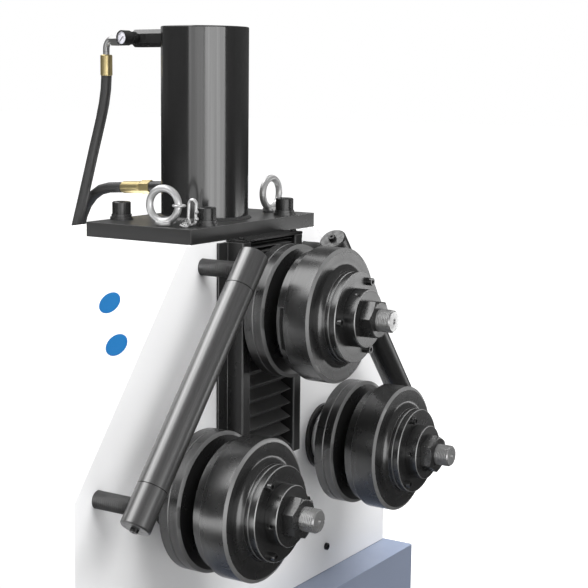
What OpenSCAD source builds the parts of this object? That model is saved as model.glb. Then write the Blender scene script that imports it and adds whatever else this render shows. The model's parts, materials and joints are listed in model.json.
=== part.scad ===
// Floor-standing ring roller: three rolls on a white head, a hydraulic press cylinder on top,
// two guide bars beside the rolls and a steel cabinet below.
// The origin is on the floor, in the middle of the anchor holes. X is right, Y is back, Z is up.

/* [Cabinet] */
// Width of the cabinet
cabinet_w = 642; // [600:1:760]
// Depth of the cabinet
cabinet_d = 487; // [440:1:600]
// Height of the cabinet's top above the floor
cabinet_h = 735; // [600:1:820]
// Wall of the cabinet
cabinet_sheet = 4; // [3:0.5:6]
// Thickness of the anchor feet
foot_t = 12; // [8:1:20]
// Length of an anchor foot along the cabinet's side
foot_l = 90; // [70:1:120]
// How far an anchor foot stands out of the side
foot_out = 46; // [36:1:60]
// How far an anchor foot reaches under the cabinet
foot_in = 40; // [25:1:60]
// Distance between the front and the rear anchor feet
foot_spacing = 380; // [300:1:420]
// Diameter of an anchor hole
anchor_hole_d = 14; // [10:0.5:18]
// Width of the service panel on the back
service_w = 520; // [400:1:540]
// Height of the service panel
service_h = 560; // [400:1:600]
// Number of louvres in each column of the service panel
louvre_count = 8; // [4:1:12]

/* [Head] */
// Height of the lower roll axes above the cabinet
axis_h = 180; // [165:1:200]
// Set-back of the head's front from the cabinet's front
head_setback = 43.5; // [30:0.5:60]
// Depth of the head
head_d = 230; // [225:1:260]
// How far the head's sides stand in from the cabinet's sides
head_inset = 3; // [0:0.5:12]
// Width of the head at its top
head_top_w = 268.6; // [264:0.2:280]
// Height where the upright sides end, above the cabinet
head_side_h = 208.9; // [190:0.1:225]
// Height of the head's top above the cabinet
head_h = 444.4; // [435:0.1:455]
// Sheet of the head's cover
head_sheet = 3; // [2:0.5:4]
// Thickness of the frame's front plate
front_plate_t = 35; // [30:1:40]
// Distance from the head's front to the frame's rear plate
rear_plate_at = 120; // [115:1:124]
// Thickness of the frame's rear plate
rear_plate_t = 30; // [26:1:34]
// Width of the slot that the carriage runs in
slot_w = 80.6; // [78:0.1:83]

/* [Rolls] */
// Diameter of the rolls
roll_d = 150; // [130:1:160]
// Distance between the lower roll axes
lower_spacing = 303.4; // [300:0.1:330]
// Height of the top roll's axis above the lower ones, at its upper stop
top_roll_h = 182.7; // [178:0.1:190]
// Gap from the head's front to the rearmost disc
disc_gap = 33; // [30:0.5:40]
// Thickness of the rearmost disc
disc_a_t = 12; // [9:0.5:15]
// Thickness of the second disc
disc_b_t = 12.4; // [9:0.2:15]
// Width of the groove in front of the second disc
groove_w = 14.6; // [10:0.2:20]
// Diameter of the groove's floor
groove_d = 92; // [80:1:100]
// Diameter of the front disc's rear shoulder
shoulder_d = 138; // [110:1:144]
// Thickness of the front disc's rear shoulder
shoulder_t = 11.5; // [8:0.5:15]
// Thickness of the front disc's rim
rim_t = 30.5; // [25:0.5:36]
// Diameter of the boss on the front disc
boss_d = 100; // [90:1:110]
// Thickness of the boss on the front disc
boss_t = 11.2; // [10:0.1:14]
// Radius of the fillet between the boss and the disc's face
boss_fillet = 8; // [4:0.5:9]
// Thickness of the screwed ring on the boss
ring_t = 8.2; // [6:0.1:10]
// Diameter of the collar
collar_d = 64; // [58:1:68]
// Thickness of the collar
collar_t = 14; // [12:0.5:17]
// Width across the flats of the shaft nut
nut_af = 39; // [34:1:46]
// Thickness of the shaft nut
nut_t = 14; // [10:0.5:18]
// Diameter of the shafts where the discs sit
shaft_d = 50; // [44:1:54]
// Diameter of the thread at the shaft's end
thread_d = 25; // [20:1:30]
// How far the thread stands out of the nut
thread_out = 17; // [12:0.5:24]

/* [Carriage] */
// Height of the carriage
carriage_h = 84; // [80:1:90]
// Width of the carriage's front
carriage_w = 90.6; // [88:0.1:92]
// Width of the carriage in the frame's slot
carriage_body_w = 80; // [77:0.1:82]
// How far the carriage's front stands out of the head
carriage_out = 22; // [18:0.5:24]
// Travel of the carriage
travel = 110; // [80:1:115]
// Width of a guide post
post_w = 15.7; // [12:0.1:18]
// How far a guide post stands out of the head
post_out = 23.5; // [20:0.5:28]
// Height of the guide posts' lower end above the lower roll axes
post_foot_z = 5.8; // [2:0.1:12]
// Width of the flange beside a guide post
flange_w = 17.1; // [12:0.1:22]
// Thickness of the flange beside a guide post
flange_t = 3; // [2:0.5:5]
// Folds in the lower bellows
lower_folds = 8; // [6:1:10]
// Folds in the upper bellows
upper_folds = 7; // [5:1:9]
// Wall of the bellows
bellows_wall = 0.8; // [0.5:0.1:1.2]

/* [Cylinder] */
// Outer diameter of the press cylinder
cylinder_d = 100.4; // [90:0.2:110]
// Bore of the press cylinder
bore_d = 80; // [70:1:84]
// Height of the press cylinder above its plate
cylinder_h = 216.6; // [210:0.2:250]
// Thickness of the cylinder's closed end
cylinder_end_t = 22; // [14:1:24]
// Distance of the cylinder's axis from the head's front
cylinder_y = 72; // [68:0.5:76]
// Diameter of the piston rod
rod_d = 45; // [38:1:50]
// Width of the plate under the cylinder
plate_w = 251; // [246:1:262]
// Depth of the plate under the cylinder
plate_d = 144; // [142:1:160]
// Thickness of the plate under the cylinder
plate_t = 16.3; // [12:0.1:20]
// Distance between the plate's screws, across
plate_screw_x = 158; // [150:1:170]
// Distance between the plate's screws, front to back
plate_screw_y = 118; // [112:1:122]
// Thread of the plate's screws
plate_screw_d = 14; // [12:1:16]
// Distance between the lifting eyes
eye_spacing = 213; // [205:1:220]
// Distance of the lifting eyes from the head's front
eye_y = 50; // [44:1:60]
// Inner diameter of a lifting eye's ring
eye_hole_d = 27.8; // [25:0.1:30]
// Thickness of a lifting eye's ring
eye_wire_d = 8.2; // [7:0.1:9]

/* [Hydraulics] */
// Section of the upper port block
port_block_w = 20.5; // [18:0.5:24]
// Reach of the upper port block from the cylinder's axis
port_block_reach = 118; // [105:1:130]
// Diameter of the pressure gauge
gauge_d = 17.5; // [16:0.5:20]
// Outer diameter of the hoses
hose_d = 13; // [11:0.5:15]
// Diameter of the hose ferrules
ferrule_d = 14.6; // [13:0.1:18]
// Angle that the ports are turned from straight back
port_turn = 9; // [0:1:20]

/* [Guide bars] */
// Diameter of the guide bars
bar_d = 32; // [28:1:36]
// Diameter of the threaded rods that carry the guide bars
bar_rod_d = 18.5; // [16:0.5:22]
// Distance between the left and right upper rods
upper_rod_spacing = 207; // [195:1:215]
// Height of the upper rods above the lower roll axes
upper_rod_z = 239; // [230:1:245]
// How far the lower rods stand in from the head's sides
lower_rod_inset = 36.6; // [30:0.1:45]
// Height of the lower rods above the lower roll axes
lower_rod_z = 25.3; // [20:0.1:35]
// Distance of the left bar's axis from the head's front
left_bar_out = 57; // [45:1:65]
// Distance of the right bar's axis from the head's front
right_bar_out = 47; // [40:1:65]
// Length of an end block of a guide bar
block_l = 43; // [38:0.5:48]
// Diameter of the axle inside a guide bar
bar_axle_d = 16; // [12:1:18]

/* [Drive] */
// Module of the drive gears
gear_module = 6; // [5:0.25:6]
// Teeth of a shaft gear
gear_teeth = 36; // [30:1:38]
// Teeth of the drive pinion
pinion_teeth = 22; // [20:1:26]
// Face width of the drive gears
gear_face = 25; // [18:1:30]

/* [Hidden] */

// Clearances and small sizes that several pieces share
overrun = 1;
seat_gap = 0.1;
press_gap = 0.03;
running_gap = 0.05;
slide_gap = 0.3;
fine = 96;
round_fn = 48;
small_fn = 32;
edge_break = 1;

// Places on the machine, from the floor and from the head's front
panel_y = head_setback - cabinet_d / 2;
axis_z = cabinet_h + axis_h;
head_w = cabinet_w - head_inset * 2;
roll_x = lower_spacing / 2;
head_top_z = head_h - axis_h;
head_side_z = head_side_h - axis_h;
plate_top_z = head_top_z + plate_t;
rear_plate_end = rear_plate_at + rear_plate_t;

// The head's slanted side: its unit normal and its distance from the axis between the lower rolls
slant_dx = (head_w - head_top_w) / 2;
slant_dz = head_h - head_side_h;
slant_l = sqrt(slant_dx * slant_dx + slant_dz * slant_dz);
slant_nx = slant_dz / slant_l;
slant_nz = slant_dx / slant_l;
slant_reach = head_w / 2 * slant_nx + head_side_z * slant_nz;

// The roll set, as distances in front of the head
disc_a_front = disc_gap + disc_a_t;
disc_b_front = disc_a_front + disc_b_t;
groove_front = disc_b_front + groove_w;
rim_back = groove_front + shoulder_t;
rim_front = rim_back + rim_t;
boss_front = rim_front + boss_t;
ring_front = boss_front + ring_t;
collar_front = ring_front + collar_t;
nut_front = collar_front + nut_t;
thread_front = nut_front + thread_out;
roll_r = roll_d / 2;
shaft_r = shaft_d / 2;
disc_bore_r = shaft_r + press_gap;
rim_chamfer_r = 4;
rim_chamfer_t = 2;
line_chamfer = 0.8;
collar_web_t = 6.5;
flange_r = 36;
flange_gap = 0.5;
ring_screw_r = 43.5;
ring_screw_head_d = 8.5;
ring_screw_head_t = 5.6;
ring_screw_hex_d = 4.6;
ring_screw_hex_t = 2.8;
pin_hole_d = 4.4;
pin_hole_depth = 7;
centre_hole_d = 6.4;
centre_hole_depth = 7;
thread_chamfer = 1.6;
nut_chamfer = 2.2;
fillet_steps = 8;

// Angles of the ring screws, the collar hole and the nut's corners, seen from the front
top_screws_at = 59;
top_hole_at = 120;
top_nut_at = 52;
left_screws_at = 6;
left_hole_at = 188;
left_nut_at = 40;
right_screws_at = 112;
right_hole_at = 174;
right_nut_at = 31;

// The bearings and their covers
bearing_w = 20;
bearing_d = 90;
carriage_bearing_d = 76;
bearing_cover_d = 82;
bearing_cover_t = 5;
bearing_cover_gap = 1;
panel_hole_d = 60;

// The carriage, its guides and its bellows
carriage_half_h = carriage_h / 2;
carriage_top_z = top_roll_h + carriage_half_h;
carriage_foot_z = top_roll_h - carriage_half_h;
carriage_end_y = 140;
carriage_bore_d = 60;
post_in_x = (carriage_w + slide_gap * 2 - seat_gap) / 2;
post_out_x = post_in_x + post_w;
flange_out_x = post_out_x + flange_w;
post_drop = 2;
post_top_z = head_top_z - post_drop;
strip_t = 3;
strip_screw_x = 46;
strip_screw_d = 7;
strip_screw_t = 2.2;
bellows_w = 88;
bellows_front = 21;
bellows_back = 3;
slot_foot_z = 8;
panel_slot_w = slot_w + slide_gap * 10;

// The cylinder, its plate and what stands on it
plate_screw_head_d = 21;
plate_screw_head_t = 14;
plate_screw_grip = 40;
plate_washer_d = 26;
spring_washer_d = 23;
plate_washer_t = 3;
plate_hex_share = 0.57;
plate_hex_depth = 7;
eye_ring_r = (eye_hole_d + eye_wire_d) / 2;
eye_collar_d = 20;
eye_collar_t = 5.2;
eye_centre_h = 22.5;
eye_shank_d = 10;
eye_shank_l = 13;
left_eye_turn = 83;
piston_t = 40;
piston_gap = 5;
cylinder_top_z = plate_top_z + cylinder_h;
cavity_top_z = cylinder_top_z - cylinder_end_t;
piston_top_z = cavity_top_z - piston_gap;

// The snap hook on the left eye, and its links
hook_wire_d = 3;
hook_w = 11;
hook_l = 28;
link_wire_d = 2.4;
link_w = 8;
link_l = 14;
clip_ring_r = 6.4;
clip_x = eye_ring_r + clip_ring_r - eye_wire_d / 2 - link_wire_d / 2 - slide_gap;
first_link_at = [18, 18];
first_link_turn = 50;
second_link_at = [-1.7, 20.4];
second_link_turn = 20;

// The ports and their fittings, from the cylinder's axis
upper_port_drop = 12;
upper_port_z = cylinder_top_z - upper_port_drop;
port_chamfer = 5;
port_end_chamfer = 3;
gauge_at = 104.8;
gauge_stem_d = 9;
gauge_back = 21;
gauge_face = 33;
gauge_rim = 1.5;
gauge_recess = 2.4;
needle_w = 0.9;
needle_l = 5.6;
needle_tail = 2.2;
needle_t = 0.5;
needle_pin_d = 1.6;
nipple_d = 12.5;
elbow_hex_at = 138.5;
elbow_hex_end = 153.7;
elbow_hex_af = 16;
elbow_d = 8;
elbow_bend = 12;
elbow_x = 168;
ferrule_l = 25.2;
ferrule_lip = 1.2;
upper_ferrule_top_z = 466.5;
lower_port_z = 315.7;
lower_port_tilt = 3.4;
lower_nipple_end = 88.5;
lower_nipple_d = 14;
lower_nipple_in = 48;
lower_hex_af = 15;
lower_hex_end = 105;
lower_hex_groove = 1;
lower_ferrule_end = 139;

// The glands on the cabinet, behind the head
gland_y = 295;
upper_gland_x = -40;
lower_gland_x = 40;
gland_hex_af = 24;
gland_hex_t = 9;
gland_d = 18;
gland_h = 30;
gland_thread_d = 16;
gland_below = 24;

// Points along the hoses, placed by hand, in the head's frame (its front lies at y = 0).
// Each hose starts at its ferrule and ends at its gland on the cabinet.
upper_hose_points = [
    [26.3, 238, 441.3], [26.4, 239.2, 425], [26.6, 242.4, 408], [26.2, 246.8, 390],
    [24.6, 251.6, 370], [21.4, 256.4, 346], [16.6, 260.8, 318], [10.6, 265, 288],
    [3.6, 269.2, 256], [-4.4, 273.4, 222], [-12.6, 277.6, 186], [-20.4, 281.6, 148],
    [-27, 285.4, 108], [-32.4, 288.6, 66], [-36.4, 291.4, 22], [-38.8, 293.6, -24],
    [-39.8, 294.8, -72], [-40, 295, -112], [-40, 295, -150]
];
lower_hose_points = [
    [21.7, 209.1, 307.4], [25.6, 234, 305.6], [28.2, 250, 302], [30.6, 264.4, 294],
    [32.6, 276.4, 282.4], [34.2, 285.6, 267], [35.4, 291.8, 248], [36.4, 295.6, 226],
    [37.4, 297.4, 200], [38.2, 297.8, 168], [39, 297.6, 130], [39.6, 297, 88],
    [39.8, 296.4, 42], [40, 295.8, -8], [40, 295.2, -60], [40, 295, -108], [40, 295, -150]
];
hose_sides = 12;

// The guide bars: the line from the upper to the lower rod, on the left side
lower_rod_spacing = head_w - lower_rod_inset * 2;
bar_dx = (lower_rod_spacing - upper_rod_spacing) / 2;
bar_dz = upper_rod_z - lower_rod_z;
bar_l = sqrt(bar_dx * bar_dx + bar_dz * bar_dz);
bar_angle = atan2(bar_dx, bar_dz);
sleeve_l = bar_l - block_l - seat_gap * 6;
bar_rod_back = 88;
bar_rod_hole_d = bar_rod_d + slide_gap * 2;
bar_axle_wall = 1;
bar_axle_in = (block_l - bar_rod_d) / 2 - bar_axle_wall;
sleeve_bore_d = bar_axle_d + running_gap * 2;
block_chamfer = 1.5;
end_screw_d = 9;
end_screw_t = 1.6;

// The drive: the pinion lies below and between the two shaft gears
gear_pitch_r = gear_module * gear_teeth / 2;
pinion_pitch_r = gear_module * pinion_teeth / 2;
gear_centres = gear_pitch_r + pinion_pitch_r;
pinion_z = -sqrt(gear_centres * gear_centres - roll_x * roll_x);
gear_line_angle = atan2(pinion_z, roll_x);
pinion_step = 360 / pinion_teeth;
gap_lag = 90 + round((90 + gear_line_angle) / pinion_step) * pinion_step - (180 + gear_line_angle);
left_gear_turn = gear_line_angle - gap_lag * pinion_teeth / gear_teeth;
gear_clearance = 15;
gear_at = rear_plate_end + gear_clearance;
gear_end = gear_at + gear_face;
gear_tip_share = 0.75;
gear_root_share = 1.25;
tooth_root_share = 0.31;
tooth_pitch_share = 0.235;
tooth_tip_share = 0.1;
pinion_shaft_d = 28;
pinion_shaft_in = 18;
pinion_hole_d = 44;
shaft_tail = 12;
shaft_rear_y = gear_end + shaft_tail;
gearbox_w = 112;
gearbox_top_z = -22;
gearbox_foot_z = -160;
gearbox_front_y = 50;
gearbox_gap = 2;
motor_d = 110;
motor_l = 250;
motor_y = 84;
motor_fin_w = 8;
motor_fin_out = 5;
motor_fin_count = 12;

// The frame behind the head's cover
frame_gap = 1;
web_in_x = 62;
web_t = 20;
frame_foot_t = 20;
motor_hole_d = 122;

// The cabinet's inner sizes
floor_t = 4;
service_lap = 20;
service_t = 2;
service_foot_h = 90;
louvre_w = 150;
louvre_h = 8;
louvre_step = 34;
louvre_x = 110;
louvre_foot = 130;
cabinet_edge = 3;
tank_w = 320;
tank_d = 220;
tank_h = 180;
tank_gap = 37;
tank_x = tank_w / 2 + cabinet_sheet + tank_gap - cabinet_w / 2;
tank_y = 60;
tank_edge = 10;
pump_motor_d = 120;
pump_motor_h = 190;
pump_motor_x = -60;
valve_w = 60;
valve_h = 70;
power_gland_in = 71;
power_gland_x = cabinet_w / 2 - power_gland_in;
power_gland_z = 60;

// Helper shapes
module at_head() {
    translate([0, panel_y, axis_z]) children();
}

// A turned piece on an axis that runs to the front: points are [radius, distance in front of the head]
module turned(points, sides = fine) {
    rotate([90, 0, 0]) rotate_extrude($fn = sides) polygon(points);
}

// A straight pin along Y, between two distances in front of the head
module pin_y(d, from, to, sides = round_fn) {
    translate([0, -from, 0]) rotate([90, 0, 0]) cylinder(d = d, h = to - from, $fn = sides);
}

// A plate whose outline lies in the X-Z plane, between two distances behind the head's front
module upright_plate(from, to) {
    translate([0, to, 0]) rotate([90, 0, 0]) linear_extrude(to - from) children();
}

// The head's outline, seen from the front, drawn in by an inset
module head_outline(inset, foot_inset) {
    top = head_top_z - inset;
    side = head_w / 2 - inset;
    top_x = (slant_reach - inset - slant_nz * top) / slant_nx;
    side_z = (slant_reach - inset - slant_nx * side) / slant_nz;
    polygon([
        [-side, -axis_h + foot_inset], [side, -axis_h + foot_inset], [side, side_z],
        [top_x, top], [-top_x, top], [-side, side_z]
    ]);
}

// A box with rounded upright edges
module rounded_box(size, r) {
    translate([r, r, 0]) linear_extrude(size[2]) union() {
        square([size[0] - r * 2, size[1] - r * 2]);
        for (x = [0, size[0] - r * 2], y = [0, size[1] - r * 2])
            translate([x, y]) circle(r, $fn = small_fn);
        translate([-r, 0]) square([size[0], size[1] - r * 2]);
        translate([0, -r]) square([size[0] - r * 2, size[1]]);
    }
}

// A hexagon bar along Z
module hexagon(af, h) {
    cylinder(d = af / cos(30), h = h, $fn = 6);
}

// Cabinet
module cabinet() {
    color("#7d8aa0") translate([-cabinet_w / 2, -cabinet_d / 2, foot_t]) difference() {
        rounded_box([cabinet_w, cabinet_d, cabinet_h - foot_t], cabinet_edge);
        translate([cabinet_sheet, cabinet_sheet, floor_t])
            cube([
                cabinet_w - cabinet_sheet * 2, cabinet_d - cabinet_sheet * 2,
                cabinet_h - foot_t - floor_t - cabinet_sheet
            ]);
        translate([
            (cabinet_w - service_w) / 2 + service_lap, cabinet_d - cabinet_sheet - overrun,
            service_foot_h + service_lap - foot_t
        ])
            cube([
                service_w - service_lap * 2, cabinet_sheet + overrun * 2,
                service_h - service_lap * 2
            ]);
        translate([
            cabinet_w / 2, head_setback + motor_y, cabinet_h - foot_t - cabinet_sheet - overrun
        ])
            cylinder(d = motor_hole_d, h = cabinet_sheet + overrun * 2, $fn = fine);
        for (x = [upper_gland_x, lower_gland_x])
            translate([
                cabinet_w / 2 + x, head_setback + gland_y,
                cabinet_h - foot_t - cabinet_sheet - overrun
            ])
                cylinder(
                    d = gland_thread_d + press_gap * 2, h = cabinet_sheet + overrun * 2,
                    $fn = round_fn
                );
        translate([
            cabinet_w / 2 + power_gland_x, cabinet_d + overrun, power_gland_z - foot_t
        ])
            rotate([90, 0, 0])
                cylinder(
                    d = gland_thread_d + press_gap * 2, h = cabinet_sheet + overrun * 2,
                    $fn = round_fn
                );
    }
}

module anchor_foot() {
    difference() {
        translate([-foot_in, -foot_l / 2, 0]) cube([foot_in + foot_out, foot_l, foot_t]);
        translate([foot_out / 2, 0, -overrun])
            cylinder(d = anchor_hole_d, h = foot_t + overrun * 2, $fn = round_fn);
    }
}

module anchor_feet() {
    color("#6f7b90") for (side = [0, 1], y = [-foot_spacing / 2, foot_spacing / 2])
        mirror([side, 0, 0]) translate([cabinet_w / 2, y, 0]) anchor_foot();
}

module service_panel() {
    louvre_area_h = louvre_step * (louvre_count - 1);
    color("#7d8aa0") translate([-service_w / 2, cabinet_d / 2, service_foot_h]) difference() {
        cube([service_w, service_t, service_h]);
        for (x = [-louvre_x, louvre_x], i = [0:louvre_count - 1])
            translate([
                service_w / 2 + x - louvre_w / 2, -overrun,
                (service_h - louvre_area_h) / 2 + i * louvre_step
            ])
                cube([louvre_w, service_t + overrun * 2, louvre_h]);
    }
}

// Head
module frame_plate(from, to) {
    upright_plate(from, to) head_outline(head_sheet + frame_gap, 0);
}

module head_frame() {
    plate_from = head_sheet + seat_gap;
    color("#3c3f45") at_head() difference() {
        union() {
            frame_plate(plate_from, plate_from + front_plate_t);
            frame_plate(rear_plate_at, rear_plate_end);
            for (side = [0, 1]) mirror([side, 0, 0])
                translate([web_in_x, plate_from, -axis_h])
                    cube([web_t, rear_plate_at - plate_from, head_h - head_sheet - frame_gap]);
            translate([-head_w / 2 + head_sheet + frame_gap, plate_from, -axis_h])
                cube([
                    head_w - (head_sheet + frame_gap) * 2, rear_plate_end - plate_from,
                    frame_foot_t
                ]);
        }
        translate([-slot_w / 2, 0, slot_foot_z])
            cube([slot_w, rear_plate_end + overrun, head_h]);
        for (x = [-roll_x, roll_x])
            translate([x, 0, 0])
                pin_y(bearing_d + press_gap * 2, -rear_plate_end - overrun, 0, fine);
        for (side = [-1, 1]) {
            translate([side * upper_rod_spacing / 2, 0, upper_rod_z])
                pin_y(bar_rod_hole_d, -plate_from - front_plate_t - overrun, 0);
            translate([side * lower_rod_spacing / 2, 0, lower_rod_z])
                pin_y(bar_rod_hole_d, -plate_from - front_plate_t - overrun, 0);
        }
        translate([0, 0, pinion_z])
            pin_y(pinion_hole_d, -rear_plate_end - overrun, -rear_plate_at + overrun);
        translate([0, motor_y, -axis_h - overrun])
            cylinder(d = motor_hole_d, h = frame_foot_t + overrun * 2, $fn = fine);
        plate_screw_places(plate_top_z - plate_t - plate_screw_grip)
            cylinder(
                d = plate_screw_d + press_gap * 2, h = plate_screw_grip + overrun,
                $fn = round_fn
            );
    }
}

module head_cover() {
    color("#f2f2f0") at_head() difference() {
        upright_plate(0, head_d) head_outline(0, 0);
        upright_plate(head_sheet, head_d + overrun) head_outline(head_sheet, -overrun);
        translate([-panel_slot_w / 2, -overrun, slot_foot_z])
            cube([panel_slot_w, head_sheet + overrun * 2, head_h]);
        for (x = [-roll_x, roll_x])
            translate([x, 0, 0]) pin_y(panel_hole_d, -head_sheet - overrun, overrun);
        for (side = [-1, 1]) {
            translate([side * upper_rod_spacing / 2, 0, upper_rod_z])
                pin_y(bar_rod_hole_d, -head_sheet - overrun, overrun);
            translate([side * lower_rod_spacing / 2, 0, lower_rod_z])
                pin_y(bar_rod_hole_d, -head_sheet - overrun, overrun);
        }
        translate([0, cylinder_y, head_top_z - head_sheet - overrun])
            cylinder(
                d = rod_d + slide_gap * 4, h = head_sheet + overrun * 2, $fn = fine
            );
        plate_screw_places(head_top_z - head_sheet - overrun)
            cylinder(
                d = plate_screw_d + slide_gap * 2, h = head_sheet + overrun * 2,
                $fn = round_fn
            );
    }
}

module rear_cover() {
    color("#f2f2f0") at_head() upright_plate(head_d, head_d + head_sheet) head_outline(0, 0);
}

module bearing_covers() {
    color("#222326") at_head() for (x = [-roll_x, roll_x]) translate([x, 0, 0])
        turned([
            [shaft_r + bearing_cover_gap, 0], [bearing_cover_d / 2, 0],
            [bearing_cover_d / 2, bearing_cover_t - edge_break],
            [bearing_cover_d / 2 - edge_break, bearing_cover_t],
            [shaft_r + bearing_cover_gap, bearing_cover_t]
        ]);
}

module bearing(outer_d, from) {
    turned([
        [shaft_r + running_gap, from], [outer_d / 2, from],
        [outer_d / 2, from + bearing_w], [shaft_r + running_gap, from + bearing_w]
    ]);
}

module roll_bearings() {
    front_seat = -head_sheet - front_plate_t;
    rear_seat = -rear_plate_end;
    color("silver") at_head() for (x = [-roll_x, roll_x], from = [front_seat, rear_seat])
        translate([x, 0, 0]) bearing(bearing_d, from);
}

// Cylinder plate
module plate_screw_places(z) {
    for (x = [-plate_screw_x / 2, plate_screw_x / 2], y = [-plate_screw_y / 2, plate_screw_y / 2])
        translate([x, cylinder_y + y, z]) children();
}

module top_plate() {
    color("#2b2c2f") at_head() difference() {
        translate([-plate_w / 2, 0, head_top_z])
            rounded_box([plate_w, plate_d, plate_t], edge_break);
        translate([0, cylinder_y, head_top_z - overrun])
            cylinder(d = rod_d + running_gap * 2, h = plate_t + overrun * 2, $fn = fine);
        plate_screw_places(head_top_z - overrun)
            cylinder(
                d = plate_screw_d + slide_gap * 2, h = plate_t + overrun * 2, $fn = round_fn
            );
        for (side = [-1, 1])
            translate([side * eye_spacing / 2, eye_y, plate_top_z - eye_shank_l - seat_gap])
                cylinder(
                    d = eye_shank_d + press_gap * 2, h = plate_t, $fn = round_fn
                );
    }
}

module plate_bolt() {
    head_z = plate_washer_t * 2 + seat_gap * 2;
    cylinder(d = plate_screw_d, h = head_z + overrun, $fn = round_fn);
    translate([0, 0, -plate_t - plate_screw_grip + seat_gap])
        cylinder(d = plate_screw_d, h = plate_t + plate_screw_grip, $fn = round_fn);
    difference() {
        translate([0, 0, head_z]) rotate_extrude($fn = round_fn) polygon([
            [0, 0], [plate_screw_head_d / 2, 0],
            [plate_screw_head_d / 2, plate_screw_head_t - edge_break],
            [plate_screw_head_d / 2 - edge_break, plate_screw_head_t],
            [0, plate_screw_head_t]
        ]);
        translate([0, 0, head_z + plate_screw_head_t - plate_hex_depth])
            hexagon(plate_screw_head_d * plate_hex_share, plate_hex_depth + overrun);
    }
}

module washer(d, hole_d, t) {
    difference() {
        cylinder(d = d, h = t, $fn = round_fn);
        translate([0, 0, -overrun]) cylinder(d = hole_d, h = t + overrun * 2, $fn = round_fn);
    }
}

module plate_bolts() {
    washer_hole_d = plate_screw_d + slide_gap * 2;
    color("#242527") at_head() plate_screw_places(plate_top_z) {
        plate_bolt();
        washer(plate_washer_d, washer_hole_d, plate_washer_t);
        translate([0, 0, plate_washer_t + seat_gap])
            washer(spring_washer_d, washer_hole_d, plate_washer_t);
    }
}

module ring_wire(r, wire_d) {
    rotate_extrude($fn = fine) translate([r, 0]) circle(d = wire_d, $fn = small_fn);
}

module lifting_eye() {
    translate([0, 0, eye_centre_h]) rotate([90, 0, 0]) ring_wire(eye_ring_r, eye_wire_d);
    rotate_extrude($fn = round_fn) polygon([
        [0, 0], [eye_collar_d / 2 - edge_break, 0], [eye_collar_d / 2, edge_break],
        [eye_collar_d / 2, eye_collar_t - edge_break],
        [eye_collar_d / 2 - edge_break, eye_collar_t], [0, eye_collar_t]
    ]);
    translate([0, 0, -eye_shank_l]) cylinder(d = eye_shank_d, h = eye_shank_l, $fn = round_fn);
}

module lifting_eyes() {
    color("#d7d8d8") at_head() {
        translate([-eye_spacing / 2, eye_y, plate_top_z])
            rotate([0, 0, -left_eye_turn]) lifting_eye();
        translate([eye_spacing / 2, eye_y, plate_top_z]) lifting_eye();
    }
}

// A wire loop with straight sides, lying in the X-Y plane, long along Y
module wire_loop(l, w, wire_d) {
    bend_r = (w - wire_d) / 2;
    straight = l - w;
    for (side = [0, 1]) mirror([0, side, 0]) translate([0, straight / 2, 0])
        rotate_extrude(angle = 180, $fn = small_fn)
            translate([bend_r, 0]) circle(d = wire_d, $fn = small_fn);
    for (side = [-1, 1]) translate([side * bend_r, straight / 2, 0])
        rotate([90, 0, 0]) cylinder(d = wire_d, h = straight, $fn = small_fn);
}

module snap_hook() {
    color("#cfd0d0") at_head() translate([-eye_spacing / 2, eye_y, plate_top_z]) {
        rotate([0, 0, -left_eye_turn]) {
            translate([clip_x, 0, eye_centre_h]) ring_wire(clip_ring_r, link_wire_d);
            translate([eye_ring_r + clip_ring_r * 2 + hook_w / 4, hook_wire_d, hook_l / 2])
                rotate([90, 0, 0]) wire_loop(hook_l, hook_w, hook_wire_d);
            translate([first_link_at[0], first_link_at[1], link_wire_d / 2])
                rotate([0, 0, first_link_turn]) wire_loop(link_l, link_w, link_wire_d);
            translate([second_link_at[0], second_link_at[1], link_wire_d / 2])
                rotate([0, 0, second_link_turn]) wire_loop(link_l, link_w, link_wire_d);
        }
    }
}

// Press cylinder
module cylinder_tube() {
    color("#1d1d1f") at_head() translate([0, cylinder_y, plate_top_z]) difference() {
        rotate_extrude($fn = fine) polygon([
            [0, 0], [cylinder_d / 2, 0], [cylinder_d / 2, cylinder_h - edge_break],
            [cylinder_d / 2 - edge_break, cylinder_h], [0, cylinder_h]
        ]);
        translate([0, 0, -overrun])
            cylinder(d = bore_d, h = cylinder_h - cylinder_end_t + overrun, $fn = fine);
    }
}

module piston_rod() {
    color("#c9cacc") at_head() translate([0, cylinder_y, 0]) {
        translate([0, 0, carriage_top_z])
            cylinder(d = rod_d, h = piston_top_z - carriage_top_z, $fn = fine);
        translate([0, 0, piston_top_z - piston_t])
            cylinder(d = bore_d - running_gap * 4, h = piston_t, $fn = fine);
    }
}

// What is fitted to the cylinder's ports stands along +Y from the cylinder's axis
module at_port(z) {
    at_head() translate([0, cylinder_y, z]) rotate([0, 0, -port_turn]) children();
}

module port_blocks() {
    half = port_block_w / 2;
    color("#232325") {
        at_port(upper_port_z) difference() {
            intersection() {
                translate([0, port_block_reach, 0]) rotate([90, 0, 0])
                    linear_extrude(port_block_reach) polygon([
                        [-half, -half + port_chamfer], [-half + port_chamfer, -half],
                        [half - port_chamfer, -half], [half, -half + port_chamfer],
                        [half, half - port_chamfer], [half - port_chamfer, half],
                        [-half + port_chamfer, half], [-half, half - port_chamfer]
                    ]);
                rotate([-90, 0, 0]) rotate_extrude($fn = fine) polygon([
                    [0, 0], [port_block_w, 0], [port_block_w, port_block_reach - port_block_w],
                    [half - port_end_chamfer, port_block_reach], [0, port_block_reach]
                ]);
            }
            translate([0, 0, -port_block_w])
                cylinder(d = cylinder_d, h = port_block_w * 2, $fn = fine);
        }
        at_lower_port() difference() {
            rotate([-90, 0, 0]) cylinder(d = lower_nipple_d, h = lower_nipple_end, $fn = round_fn);
            rotate([lower_port_tilt, 0, 0]) translate([0, 0, -port_block_w])
                cylinder(d = cylinder_d, h = port_block_w * 2, $fn = fine);
        }
    }
}

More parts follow.
